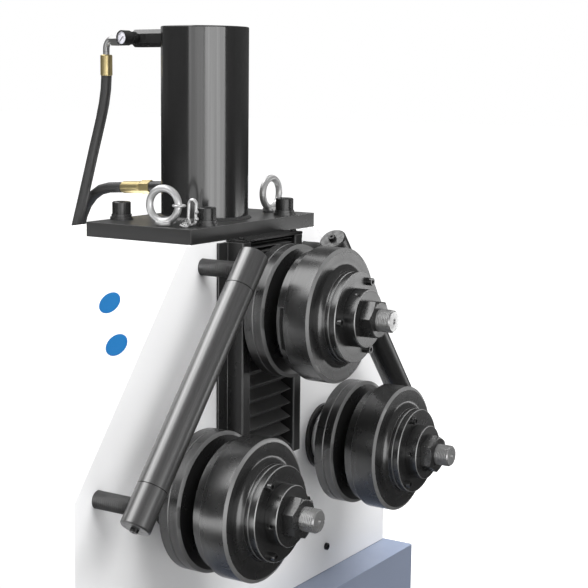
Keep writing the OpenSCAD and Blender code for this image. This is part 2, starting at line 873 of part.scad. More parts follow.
// The lower port points a little down
module at_lower_port() {
    at_port(lower_port_z) rotate([-lower_port_tilt, 0, 0]) children();
}

module gauge_case() {
    color("#1b1b1c") at_port(upper_port_z) translate([0, gauge_at, 0]) rotate([0, -90, 0]) {
        translate([0, 0, port_block_w / 2])
            cylinder(d = gauge_stem_d, h = gauge_back - port_block_w / 2, $fn = round_fn);
        difference() {
            translate([0, 0, gauge_back])
                cylinder(d = gauge_d, h = gauge_face - gauge_back, $fn = round_fn);
            translate([0, 0, gauge_face - gauge_recess])
                cylinder(d = gauge_d - gauge_rim * 2, h = gauge_recess + overrun, $fn = round_fn);
        }
    }
}

// The needle points to the lower left of its dial at rest
module gauge_needle() {
    color("#111111") at_port(upper_port_z) translate([0, gauge_at, 0]) rotate([0, -90, 0])
        translate([0, 0, gauge_face - gauge_recess + slide_gap]) rotate([0, 0, 135]) {
            translate([-needle_tail, -needle_w / 2, 0])
                cube([needle_l + needle_tail, needle_w, needle_t]);
            cylinder(d = needle_pin_d, h = needle_t, $fn = small_fn);
        }
}

module elbow_fitting() {
    color("#c4c5c6") at_port(upper_port_z) {
        translate([0, port_block_reach, 0]) rotate([-90, 0, 0])
            cylinder(d = nipple_d, h = elbow_hex_at - port_block_reach, $fn = round_fn);
        translate([0, elbow_hex_at, 0]) rotate([-90, 0, 0])
            hexagon(elbow_hex_af, elbow_hex_end - elbow_hex_at);
        translate([0, elbow_hex_end, 0]) rotate([-90, 0, 0])
            cylinder(d = elbow_d, h = elbow_x - elbow_bend - elbow_hex_end, $fn = round_fn);
        translate([0, elbow_x - elbow_bend, -elbow_bend]) rotate([90, 0, 90])
            rotate_extrude(angle = 90, $fn = fine)
                translate([elbow_bend, 0]) circle(d = elbow_d, $fn = small_fn);
        translate([0, elbow_x, upper_ferrule_top_z - upper_port_z])
            cylinder(
                d = elbow_d, h = upper_port_z - elbow_bend - upper_ferrule_top_z,
                $fn = round_fn
            );
    }
}

module hose_ferrules() {
    color("#b89b4e") {
        at_port(upper_ferrule_top_z - ferrule_l) translate([0, elbow_x, 0])
            rotate_extrude($fn = round_fn) polygon([
                [0, 0], [ferrule_d / 2 - ferrule_lip / 2, 0], [ferrule_d / 2, ferrule_lip],
                [ferrule_d / 2, ferrule_l - ferrule_lip],
                [ferrule_d / 2 - ferrule_lip / 2, ferrule_l], [0, ferrule_l]
            ]);
        at_lower_port() {
            translate([0, lower_nipple_end, 0]) rotate([-90, 30, 0])
                hexagon(lower_hex_af, lower_hex_end - lower_nipple_end);
            translate([0, lower_hex_end, 0]) rotate([-90, 0, 0]) rotate_extrude($fn = round_fn)
                polygon([
                    [0, 0], [ferrule_d / 2 - lower_hex_groove * 2, 0],
                    [ferrule_d / 2 - lower_hex_groove * 2, lower_hex_groove],
                    [ferrule_d / 2, lower_hex_groove],
                    [ferrule_d / 2, lower_ferrule_end - lower_hex_end - ferrule_lip * 2],
                    [ferrule_d / 2 - ferrule_lip / 2, lower_ferrule_end - lower_hex_end],
                    [0, lower_ferrule_end - lower_hex_end]
                ]);
        }
    }
}

// Tangents, ring frames and rings of a tube along a route
function route_step(points, i) =
    points[min(i + 1, len(points) - 1)] - points[max(i - 1, 0)];
function unit(v) = v / norm(v);
function ring_at(points, i, dir, d, sides) =
    let (u = unit(cross(dir, [1, 0, 0])), v = cross(dir, u))
    [for (k = [0:sides - 1]) points[i] + (u * cos(360 * k / sides) + v * sin(360 * k / sides)) * d / 2];

// A closed tube along a route, with its end faces square to the given directions
module tube(points, d, sides, start_dir, end_dir) {
    last = len(points) - 1;
    rings = [for (i = [0:last])
        ring_at(points, i, unit(i == 0 ? start_dir : i == last ? end_dir : route_step(points, i)), d, sides)];
    vertices = [for (r = rings, p = r) p];
    sides_faces = [for (i = [0:last - 1], k = [0:sides - 1])
        let (a = i * sides + k, b = i * sides + (k + 1) % sides, c = a + sides, e = b + sides)
        each [[a, c, e], [a, e, b]]];
    start_face = [for (k = [1:sides - 2]) [0, k, k + 1]];
    end_face = [for (k = [1:sides - 2]) [last * sides, last * sides + k + 1, last * sides + k]];
    polyhedron(vertices, concat(start_face, sides_faces, end_face), convexity = 6);
}

module upper_hose() {
    color("#2a2a2b") at_head()
        tube(upper_hose_points, hose_d, hose_sides, [0, 0, -1], [0, 0, -1]);
}

module lower_hose() {
    start_dir = [sin(port_turn), cos(port_turn), -tan(lower_port_tilt)];
    color("#2a2a2b") at_head()
        tube(lower_hose_points, hose_d, hose_sides, start_dir, [0, 0, -1]);
}

module gland(above, below) {
    hexagon(gland_hex_af, gland_hex_t);
    cylinder(d = gland_d, h = above, $fn = round_fn);
    translate([0, 0, -below]) cylinder(d = gland_thread_d, h = below, $fn = round_fn);
}

module hose_glands() {
    color("#4a4b4d") {
        for (x = [upper_gland_x, lower_gland_x])
            translate([x, panel_y + gland_y, cabinet_h]) gland(gland_h, gland_below);
        translate([power_gland_x, cabinet_d / 2, power_gland_z])
            rotate([-90, 0, 0]) gland(gland_h, gland_below);
    }
}

// Carriage and its guides
module slide_guides() {
    color("#2d2e31") at_head() for (side = [0, 1]) mirror([side, 0, 0])
        translate([0, 0, post_foot_z]) linear_extrude(post_top_z - post_foot_z) polygon([
            [post_in_x, 0], [post_in_x, -post_out + edge_break],
            [post_in_x + edge_break, -post_out], [post_out_x - edge_break, -post_out],
            [post_out_x, -post_out + edge_break], [post_out_x, -flange_t],
            [flange_out_x, -flange_t], [flange_out_x, 0]
        ]);
}

module guide_strip() {
    color("#3b3c3f") at_head() {
        translate([-post_out_x, -post_out, post_top_z])
            cube([post_out_x * 2, post_out - edge_break, strip_t]);
        for (side = [-1, 1])
            translate([
                side * (post_in_x + post_out_x) / 2, -post_out / 2 - edge_break * 4,
                post_top_z + strip_t + seat_gap
            ])
                cylinder(d = strip_screw_d, h = strip_screw_t, $fn = round_fn);
    }
}

module carriage() {
    color("#2f3033") at_head() difference() {
        union() {
            translate([-carriage_w / 2, -carriage_out, carriage_foot_z])
                cube([carriage_w, carriage_out - slide_gap, carriage_h]);
            translate([-carriage_body_w / 2, -carriage_out, carriage_foot_z])
                cube([carriage_body_w, carriage_out + carriage_end_y, carriage_h]);
        }
        translate([0, 0, top_roll_h]) {
            pin_y(carriage_bore_d, -carriage_end_y - overrun, carriage_out + overrun, fine);
            pin_y(
                carriage_bearing_d + press_gap * 2, -carriage_end_y - overrun,
                -carriage_end_y + bearing_w, fine
            );
            pin_y(
                carriage_bearing_d + press_gap * 2, carriage_out - bearing_w,
                carriage_out + overrun, fine
            );
        }
    }
}

module carriage_bearings() {
    color("silver") at_head() translate([0, 0, top_roll_h])
        for (from = [-carriage_end_y, carriage_out - bearing_w])
            bearing(carriage_bearing_d, from);
}

// A folded strip between two heights: half a fold is one slanted leaf. Its foot and its top
// end in level lips that run back to given distances in front of the head.
module folded_strip(foot_z, top_z, folds, foot_lip, top_lip) {
    steps = folds * 2;
    leaf = (top_z - foot_z) / steps;
    reach = bellows_front - bellows_back;
    leaf_back = bellows_wall * sqrt(leaf * leaf + reach * reach) / leaf;
    depth = reach - leaf_back;
    lip_y = -bellows_back - depth * bellows_wall / leaf;
    outer = [for (i = [0:steps])
        [i % 2 == 0 ? -bellows_front + depth : -bellows_front, foot_z + i * leaf]];
    inner = [for (i = [steps - 1:-1:1])
        [i % 2 == 0 ? -bellows_back : -bellows_back - depth, foot_z + i * leaf]];
    translate([-bellows_w / 2, 0, 0]) rotate([90, 0, 90]) linear_extrude(bellows_w)
        polygon(concat(
            [[-foot_lip, foot_z]], outer,
            [
                [-top_lip, top_z], [-top_lip, top_z - bellows_wall],
                [lip_y, top_z - bellows_wall]
            ],
            inner,
            [[lip_y, foot_z + bellows_wall], [-foot_lip, foot_z + bellows_wall]]
        ));
}

module upper_bellows() {
    color("#262628") at_head() folded_strip(
        carriage_top_z + slide_gap, post_top_z - slide_gap, upper_folds,
        bellows_back / 2, bellows_back / 2
    );
}

module lower_bellows() {
    color("#262628") at_head() folded_strip(
        post_foot_z + bellows_wall, carriage_foot_z - slide_gap, lower_folds,
        slide_gap, bellows_back / 2
    );
}

// Rolls, drawn on the axis that runs to the front
module roll_shaft(rear, flange_back) {
    step = collar_front - collar_web_t;
    difference() {
        turned([
            [0, -rear], [shaft_r - edge_break, -rear], [shaft_r, -rear + edge_break],
            [shaft_r, flange_back], [flange_r, flange_back], [flange_r, disc_gap],
            [shaft_r, disc_gap], [shaft_r, step], [thread_d / 2, step],
            [thread_d / 2, thread_front - thread_chamfer],
            [thread_d / 2 - thread_chamfer, thread_front], [0, thread_front]
        ]);
        turned([
            [0, thread_front - centre_hole_depth],
            [centre_hole_d / 4, thread_front - centre_hole_depth],
            [centre_hole_d / 4, thread_front - centre_hole_d / 2],
            [centre_hole_d / 2, thread_front + overrun], [0, thread_front + overrun]
        ], round_fn);
    }
}

module back_discs() {
    turned([
        [disc_bore_r, disc_gap + seat_gap], [roll_r - line_chamfer, disc_gap + seat_gap],
        [roll_r, disc_gap + line_chamfer], [roll_r, disc_a_front - line_chamfer],
        [roll_r - line_chamfer, disc_a_front], [disc_bore_r, disc_a_front]
    ]);
    turned([
        [disc_bore_r, disc_a_front + seat_gap], [roll_r - line_chamfer, disc_a_front + seat_gap],
        [roll_r, disc_a_front + line_chamfer], [roll_r, disc_b_front - rim_chamfer_t],
        [roll_r - rim_chamfer_r, disc_b_front], [disc_bore_r, disc_b_front]
    ]);
}

module roll_spacer() {
    turned([
        [disc_bore_r, disc_b_front], [groove_d / 2, disc_b_front],
        [groove_d / 2, groove_front], [disc_bore_r, groove_front]
    ]);
}

module front_disc() {
    fillet = [for (i = [0:fillet_steps]) [
        boss_d / 2 + boss_fillet * (1 - sin(90 * i / fillet_steps)),
        rim_front + boss_fillet * (1 - cos(90 * i / fillet_steps))
    ]];
    turned(concat(
        [
            [disc_bore_r, groove_front], [shoulder_d / 2, groove_front],
            [shoulder_d / 2, rim_back], [roll_r - line_chamfer, rim_back],
            [roll_r, rim_back + line_chamfer], [roll_r, rim_front - rim_chamfer_t],
            [roll_r - rim_chamfer_r, rim_front]
        ],
        fillet,
        [
            [boss_d / 2, boss_front - line_chamfer],
            [boss_d / 2 - line_chamfer, boss_front], [disc_bore_r, boss_front]
        ]
    ));
}

module ring_screw_places(first_angle) {
    for (i = [0:2]) rotate([0, -first_angle - 120 * i, 0])
        translate([ring_screw_r, 0, 0]) children();
}

module cover_ring(first_angle) {
    turned([
        [disc_bore_r, boss_front + seat_gap], [boss_d / 2 - line_chamfer, boss_front + seat_gap],
        [boss_d / 2, boss_front + line_chamfer], [boss_d / 2, ring_front - line_chamfer],
        [boss_d / 2 - line_chamfer, ring_front], [disc_bore_r, ring_front]
    ]);
    ring_screw_places(first_angle) difference() {
        pin_y(ring_screw_head_d, ring_front + seat_gap, ring_front + ring_screw_head_t);
        translate([0, -ring_front - ring_screw_head_t + ring_screw_hex_t, 0]) rotate([90, 0, 0])
            hexagon(ring_screw_hex_d, ring_screw_hex_t + overrun);
    }
}

module roll_collar(hole_angle) {
    step = collar_front - collar_web_t;
    difference() {
        turned([
            [disc_bore_r, ring_front + seat_gap], [collar_d / 2, ring_front + seat_gap],
            [collar_d / 2, collar_front - line_chamfer],
            [collar_d / 2 - line_chamfer, collar_front],
            [thread_d / 2 + press_gap, collar_front], [thread_d / 2 + press_gap, step + seat_gap],
            [disc_bore_r, step + seat_gap]
        ]);
        rotate([0, -hole_angle, 0])
            translate([collar_d / 2 - pin_hole_depth, -(ring_front + collar_front) / 2, 0])
                rotate([0, 90, 0]) cylinder(
                    d = pin_hole_d, h = pin_hole_depth + overrun, $fn = small_fn
                );
    }
}

module roll_nut(angle) {
    corner_r = nut_af / cos(30) / 2;
    difference() {
        intersection() {
            rotate([0, -angle, 0]) translate([0, -collar_front - seat_gap, 0]) rotate([90, 0, 0])
                hexagon(nut_af, nut_t - seat_gap);
            turned([
                [0, collar_front], [corner_r + edge_break, collar_front],
                [corner_r + edge_break, nut_front - nut_chamfer],
                [nut_af / 2 - edge_break, nut_front], [0, nut_front]
            ]);
        }
        pin_y(thread_d + press_gap * 2, collar_front - overrun, nut_front + overrun);
    }
}

module at_top_roll() {
    at_head() translate([0, 0, top_roll_h]) children();
}

module at_left_roll() {
    at_head() translate([-roll_x, 0, 0]) children();
}

module at_right_roll() {
    at_head() translate([roll_x, 0, 0]) children();
}

module top_shaft() {
    color("#9a9b9c") at_top_roll() roll_shaft(carriage_end_y + shaft_tail, carriage_out + flange_gap);
}
module top_back_discs() { color("#47484a") at_top_roll() back_discs(); }
module top_spacer() { color("#2b2c2d") at_top_roll() roll_spacer(); }
module top_front_disc() { color("#4d4e50") at_top_roll() front_disc(); }
module top_cover_ring() { color("#505153") at_top_roll() cover_ring(top_screws_at); }
module top_collar() { color("#46474a") at_top_roll() roll_collar(top_hole_at); }
module top_nut() { color("#5b5c5e") at_top_roll() roll_nut(top_nut_at); }

module left_shaft() {
    color("#9a9b9c") at_left_roll() roll_shaft(shaft_rear_y, bearing_cover_t + edge_break);
}
module left_back_discs() { color("#47484a") at_left_roll() back_discs(); }
module left_spacer() { color("#2b2c2d") at_left_roll() roll_spacer(); }
module left_front_disc() { color("#4d4e50") at_left_roll() front_disc(); }
module left_cover_ring() { color("#505153") at_left_roll() cover_ring(left_screws_at); }
module left_collar() { color("#46474a") at_left_roll() roll_collar(left_hole_at); }
module left_nut() { color("#5b5c5e") at_left_roll() roll_nut(left_nut_at); }

module right_shaft() {
    color("#9a9b9c") at_right_roll() roll_shaft(shaft_rear_y, bearing_cover_t + edge_break);
}
module right_back_discs() { color("#47484a") at_right_roll() back_discs(); }
module right_spacer() { color("#2b2c2d") at_right_roll() roll_spacer(); }
module right_front_disc() { color("#4d4e50") at_right_roll() front_disc(); }
module right_cover_ring() { color("#505153") at_right_roll() cover_ring(right_screws_at); }
module right_collar() { color("#46474a") at_right_roll() roll_collar(right_hole_at); }
module right_nut() { color("#5b5c5e") at_right_roll() roll_nut(right_nut_at); }

// Drive
module gear_outline(teeth, pitch_r, turn) {
    step = 360 / teeth;
    tip_r = pitch_r + gear_module * gear_tip_share;
    root_r = pitch_r - gear_module * gear_root_share;
    polygon([for (i = [0:teeth - 1], p = [
        [root_r, -tooth_root_share], [pitch_r, -tooth_pitch_share], [tip_r, -tooth_tip_share],
        [tip_r, tooth_tip_share], [pitch_r, tooth_pitch_share], [root_r, tooth_root_share]
    ])
        let (a = turn + step * (i + p[1])) [p[0] * cos(a), p[0] * sin(a)]]);
}

module toothed_wheel(teeth, pitch_r, turn, bore_d) {
    upright_plate(gear_at, gear_end) difference() {
        gear_outline(teeth, pitch_r, turn);
        circle(d = bore_d, $fn = fine);
    }
}

module left_gear() {
    color("#8b8c8e") at_left_roll()
        toothed_wheel(gear_teeth, gear_pitch_r, left_gear_turn, shaft_d + press_gap * 2);
}

module right_gear() {
    color("#8b8c8e") at_right_roll() mirror([1, 0, 0])
        toothed_wheel(gear_teeth, gear_pitch_r, left_gear_turn, shaft_d + press_gap * 2);
}

module drive_pinion() {
    color("#8b8c8e") at_head() translate([0, 0, pinion_z]) {
        toothed_wheel(pinion_teeth, pinion_pitch_r, 90 + pinion_step / 2, pinion_shaft_d - overrun);
        pin_y(pinion_shaft_d, -gear_end, -rear_plate_at + gearbox_gap + pinion_shaft_in);
    }
}

module gearmotor() {
    box_d = rear_plate_at - gearbox_gap - gearbox_front_y;
    motor_foot_z = gearbox_foot_z - motor_l;
    color("#4d6a8a") at_head() difference() {
        union() {
            translate([-gearbox_w / 2, gearbox_front_y, gearbox_foot_z])
                rounded_box([gearbox_w, box_d, gearbox_top_z - gearbox_foot_z], tank_edge);
            translate([0, motor_y, motor_foot_z])
                cylinder(d = motor_d - motor_fin_out * 2, h = motor_l, $fn = fine);
            for (i = [0:motor_fin_count - 1])
                translate([0, motor_y, motor_foot_z + gland_below])
                    rotate([0, 0, 360 / motor_fin_count * i]) translate([0, -motor_fin_w / 2, 0])
                        cube([motor_d / 2, motor_fin_w, motor_l - gland_below * 3]);
        }
        translate([0, 0, pinion_z])
            pin_y(
                pinion_shaft_d + running_gap * 2, -rear_plate_at,
                -rear_plate_at + gearbox_gap + pinion_shaft_in + seat_gap
            );
    }
}

module hydraulic_unit() {
    floor_z = foot_t + floor_t;
    color("#5b5f66") translate([tank_x, tank_y, floor_z]) {
        translate([-tank_w / 2, -tank_d / 2, 0]) rounded_box([tank_w, tank_d, tank_h], tank_edge);
        translate([pump_motor_x, 0, tank_h])
            cylinder(d = pump_motor_d, h = pump_motor_h, $fn = fine);
        translate([-pump_motor_x, -valve_w / 2, tank_h]) cube([valve_w, valve_w, valve_h]);
    }
}

// Guide bars: a side is -1 on the left and 1 on the right
module at_bar(side, out) {
    at_head() translate([
        side * (upper_rod_spacing + lower_rod_spacing) / 4, -out, (upper_rod_z + lower_rod_z) / 2
    ])
        rotate([0, -side * bar_angle, 0]) children();
}

module guide_rods(side, out) {
    at_head() {
        translate([side * upper_rod_spacing / 2, 0, upper_rod_z])
            pin_y(bar_rod_d, -bar_rod_back, out);
        translate([side * lower_rod_spacing / 2, 0, lower_rod_z])
            pin_y(bar_rod_d, -bar_rod_back, out);
    }
}

module guide_blocks(side, out) {
    at_bar(side, out) {
        for (end = [-1, 1]) difference() {
            rod_at = end * bar_l / 2;
            translate([0, 0, rod_at]) mirror([0, 0, end < 0 ? 1 : 0])
                rotate_extrude($fn = fine) polygon([
                    [0, -block_l / 2], [bar_d / 2, -block_l / 2],
                    [bar_d / 2, block_l / 2 - block_chamfer],
                    [bar_d / 2 - block_chamfer, block_l / 2], [0, block_l / 2]
                ]);
            translate([0, 0, rod_at])
                pin_y(bar_rod_d + press_gap * 2, -bar_d, 0);
            translate([0, 0, rod_at + end * (block_l / 2 - end_screw_t)])
                mirror([0, 0, end < 0 ? 1 : 0])
                    cylinder(d = end_screw_d, h = end_screw_t + overrun, $fn = small_fn);
            translate([0, 0, end * (bar_l - block_l) / 2 - (end > 0 ? overrun : bar_axle_in)])
                cylinder(
                    d = bar_axle_d + press_gap * 2, h = bar_axle_in + overrun, $fn = round_fn
                );
        }
        translate([0, 0, -(bar_l - block_l) / 2 - bar_axle_in + seat_gap])
            cylinder(
                d = bar_axle_d, h = bar_l - block_l + (bar_axle_in - seat_gap) * 2,
                $fn = round_fn
            );
    }
}

module guide_sleeve(side, out) {
    at_bar(side, out) translate([0, 0, -sleeve_l / 2]) difference() {
        cylinder(d = bar_d, h = sleeve_l, $fn = fine);
        translate([0, 0, -overrun])
            cylinder(d = sleeve_bore_d, h = sleeve_l + overrun * 2, $fn = round_fn);
    }
}

module left_guide_rods() { color("#77787a") guide_rods(-1, left_bar_out); }
module left_guide_blocks() { color("#626365") guide_blocks(-1, left_bar_out); }
module left_guide_sleeve() { color("#6a6b6d") guide_sleeve(-1, left_bar_out); }
module right_guide_rods() { color("#77787a") guide_rods(1, right_bar_out); }
module right_guide_blocks() { color("#626365") guide_blocks(1, right_bar_out); }
module right_guide_sleeve() { color("#6a6b6d") guide_sleeve(1, right_bar_out); }

cabinet();
anchor_feet();
service_panel();
head_frame();
head_cover();
rear_cover();
top_plate();
plate_bolts();
lifting_eyes();
snap_hook();
cylinder_tube();
port_blocks();
gauge_case();
elbow_fitting();
hose_ferrules();
upper_hose();
lower_hose();
hose_glands();
slide_guides();
guide_strip();
bearing_covers();
roll_bearings();
gearmotor();
hydraulic_unit();
carriage();
piston_rod();
carriage_bearings();
upper_bellows();
lower_bellows();
gauge_needle();
drive_pinion();
left_guide_rods();
left_guide_blocks();
left_guide_sleeve();
right_guide_rods();
right_guide_blocks();
right_guide_sleeve();
top_shaft();
top_back_discs();
top_spacer();
top_front_disc();
top_cover_ring();
top_collar();
top_nut();
left_shaft();
left_back_discs();
left_spacer();
left_front_disc();
left_cover_ring();
left_collar();
left_nut();
left_gear();
right_shaft();
right_back_discs();
right_spacer();
right_front_disc();
right_cover_ring();
right_collar();
right_nut();
right_gear();
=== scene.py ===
"""Dresses a floor-standing hydraulic ring roller: camera, light, finishes and fine pieces.

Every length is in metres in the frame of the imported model: X right, Y back, Z up, with the
origin on the floor in the middle of the anchor holes. Sizes given in millimetres end in _mm.
"""

import json
import logging
import math
from collections.abc import Callable, Iterable
from dataclasses import dataclass
from enum import Enum

import bmesh
import bpy
from mathutils import Matrix, Vector


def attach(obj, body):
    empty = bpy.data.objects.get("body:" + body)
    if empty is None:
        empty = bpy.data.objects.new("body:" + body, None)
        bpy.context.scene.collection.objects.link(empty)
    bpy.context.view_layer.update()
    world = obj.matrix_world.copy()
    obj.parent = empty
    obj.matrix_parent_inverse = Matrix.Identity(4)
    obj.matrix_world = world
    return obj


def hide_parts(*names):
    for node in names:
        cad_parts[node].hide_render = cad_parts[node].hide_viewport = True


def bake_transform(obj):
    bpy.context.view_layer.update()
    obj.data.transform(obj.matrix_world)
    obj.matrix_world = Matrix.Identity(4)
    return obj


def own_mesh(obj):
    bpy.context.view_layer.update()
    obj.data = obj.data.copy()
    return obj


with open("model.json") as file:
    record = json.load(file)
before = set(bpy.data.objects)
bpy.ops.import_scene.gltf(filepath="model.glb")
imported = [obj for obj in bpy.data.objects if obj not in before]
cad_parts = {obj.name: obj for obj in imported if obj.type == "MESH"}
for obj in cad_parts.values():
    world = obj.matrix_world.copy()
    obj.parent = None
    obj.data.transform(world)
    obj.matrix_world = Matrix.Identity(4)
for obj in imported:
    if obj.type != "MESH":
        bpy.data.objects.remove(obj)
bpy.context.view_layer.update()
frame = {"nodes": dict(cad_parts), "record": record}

log = logging.getLogger("ring_roller")

Colour = tuple[float, float, float]
Point = tuple[float, float, float]
Outline = list[tuple[float, float]]
Socket = bpy.types.NodeSocket
Node = bpy.types.Node
Outlets = bpy.types.NodeOutputs
Inlets = bpy.types.NodeInputs
Inputs = dict[str | int, object]
Mesh = bmesh.types.BMesh
Vert = bmesh.types.BMVert
Edge = bmesh.types.BMEdge
Face = bmesh.types.BMFace
EdgeTest = Callable[[Edge], bool]

MM = 0.001
# The head's front, the lower roll axes, and the cylinder's foot from both
PANEL_Y_MM = -200.0
AXIS_Z_MM = 915.0
CYLINDER_BEHIND_MM = 72.0
PLATE_TOP_MM = 280.7


def head_point(x_mm: float, out_mm: float, z_mm: float) -> Vector:
    """Gives a point from its place on the head.

    Args:
        x_mm: Distance to the right of the head's middle.
        out_mm: Distance in front of the head's front.
        z_mm: Height above the lower roll axes.

    Returns:
        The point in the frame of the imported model.
    """
    return Vector((x_mm, PANEL_Y_MM - out_mm, AXIS_Z_MM + z_mm)) * MM


def cylinder_foot() -> Vector:
    """Gives the middle of the press cylinder's foot."""
    return head_point(0.0, -CYLINDER_BEHIND_MM, PLATE_TOP_MM)


def linear(value: float) -> float:
    """Turns one display value from 0 to 1 into a linear one."""
    return value / 12.92 if value <= 0.04045 else ((value + 0.055) / 1.055) ** 2.4


def shade(red: int, green: int, blue: int) -> Colour:
    """Turns a display colour from 0 to 255 into a linear one."""
    return linear(red / 255), linear(green / 255), linear(blue / 255)


def grey(level: int) -> Colour:
    """Gives a neutral colour from its display level."""
    return shade(level, level, level)


def paler(colour: Colour, gain: float) -> Colour:
    """Gives the paler tone that a colour's flecks have."""
    return tuple(min(1.0, value * gain + 0.01) for value in colour)


class Wiring:
    """Adds nodes to one node tree and joins them."""

    def __init__(self, tree: bpy.types.NodeTree) -> None:
        """Starts on a tree, which keeps the nodes that it has."""
        self.tree = tree

    def put(self, socket: Socket, value: object) -> None:
        """Links a socket to the value if that is a socket, and sets it otherwise.

        Args:
            socket: The input.
            value: An output of another node, or a plain value.
        """
        if isinstance(value, Socket):
            self.tree.links.new(value, socket)
        elif isinstance(value, tuple) and len(value) == 3 and socket.type == "RGBA":
            socket.default_value = (*value, 1.0)
        else:
            socket.default_value = value

    def add(self, kind: str, inputs: Inputs | None = None, **settings: object) -> Node:
        """Adds a node.

        Args:
            kind: Blender's name of the node type.
            inputs: Values or sockets for its inputs, by name or number.
            **settings: Properties of the node.

        Returns:
            The new node.
        """
        node = self.tree.nodes.new(kind)
        for key, value in settings.items():
            setattr(node, key, value)
        for key, value in (inputs or {}).items():
            self.put(node.inputs[key], value)
        return node

    def math(self, operation: str, first: object, second: object = 0.0, clamp: bool = False) -> Socket:
        """Adds a Math node and gives its result."""
        values = {0: first, 1: second}
        return self.add("ShaderNodeMath", values, operation=operation, use_clamp=clamp).outputs[0]

    def times(self, first: object, second: object) -> Socket:
        """Multiplies two values."""
        return self.math("MULTIPLY", first, second)

    def noise(self, vector: object, scale: object, detail: float = 3.0, rough: float = 0.6) -> Socket:
        """Adds a noise texture and gives its value."""
        values = {"Vector": vector, "Scale": scale, "Detail": detail, "Roughness": rough}
        return self.add("ShaderNodeTexNoise", values).outputs[0]

    def remap(self, value: object, low: float, high: float, to_low: float, to_high: float) -> Socket:
        """Moves a value from one range to another, clamped at both ends."""
        values = {0: value, 1: low, 2: high, 3: to_low, 4: to_high}
        return self.add("ShaderNodeMapRange", values, clamp=True).outputs[0]

    def share(self, value: object, low: float, high: float) -> Socket:
        """Gives how far a value lies between two others, from 0 to 1."""
        return self.remap(value, low, high, 0.0, 1.0)

    def mix(self, factor: object, first: object, second: object) -> Socket:
        """Mixes two colours and gives the result."""
        node = self.add("ShaderNodeMix", {"Factor": factor, 6: first, 7: second}, data_type="RGBA")
        return node.outputs[2]

    def split(self, vector: object) -> Outlets:
        """Gives the three parts of a vector."""
        return self.add("ShaderNodeSeparateXYZ", {0: vector}).outputs

    def radius(self, vector: object) -> Socket:
        """Gives the distance of a place from the Y axis.

        Args:
            vector: The place.

        Returns:
            The distance.
        """
        parts = self.split(vector)
        squares = self.math("ADD", self.times(parts[0], parts[0]), self.times(parts[2], parts[2]))
        return self.math("SQRT", squares)

    def tilt(self) -> Socket:
        """Gives how squarely a face looks along the Y axis, from 0 to 1."""
        normal = self.add("ShaderNodeNewGeometry").outputs["True Normal"]
        return self.math("ABSOLUTE", self.split(normal)[1])


class Effect(Enum):
    """The surface effects that several finishes share."""

    SKIN = "Paint skin"
    TURNING = "Turning marks"
    HANDLING = "Handling marks"
    BARE_EDGE_AND_HIGHLIGHT = "Bare turned edge and painted highlight"
    DRAWN = "Drawn lines"


EFFECT_INPUTS: dict[Effect, dict[str, float | None]] = {
    Effect.SKIN: {"Vector": None, "Peel": 700.0, "Mottle": 6.0},
    Effect.TURNING: {"Vector": None, "Fine": 2600.0, "Broad": 260.0},
    Effect.HANDLING: {"Vector": None, "Scale": 14.0},
    Effect.BARE_EDGE_AND_HIGHLIGHT: {"Vector": None, "Inner": 0.03, "Outer": 0.08, "Soft": 0.0004},
    Effect.DRAWN: {"Vector": None, "Fine": 900.0},
}
EFFECT_OUTPUTS: dict[Effect, tuple[str, ...]] = {
    Effect.SKIN: ("Height", "Mottle"),
    Effect.TURNING: ("Height", "Bands"),
    Effect.HANDLING: ("Smudge", "Fleck"),
    Effect.BARE_EDGE_AND_HIGHLIGHT: ("Edge",),
    Effect.DRAWN: ("Height", "Streak"),
}


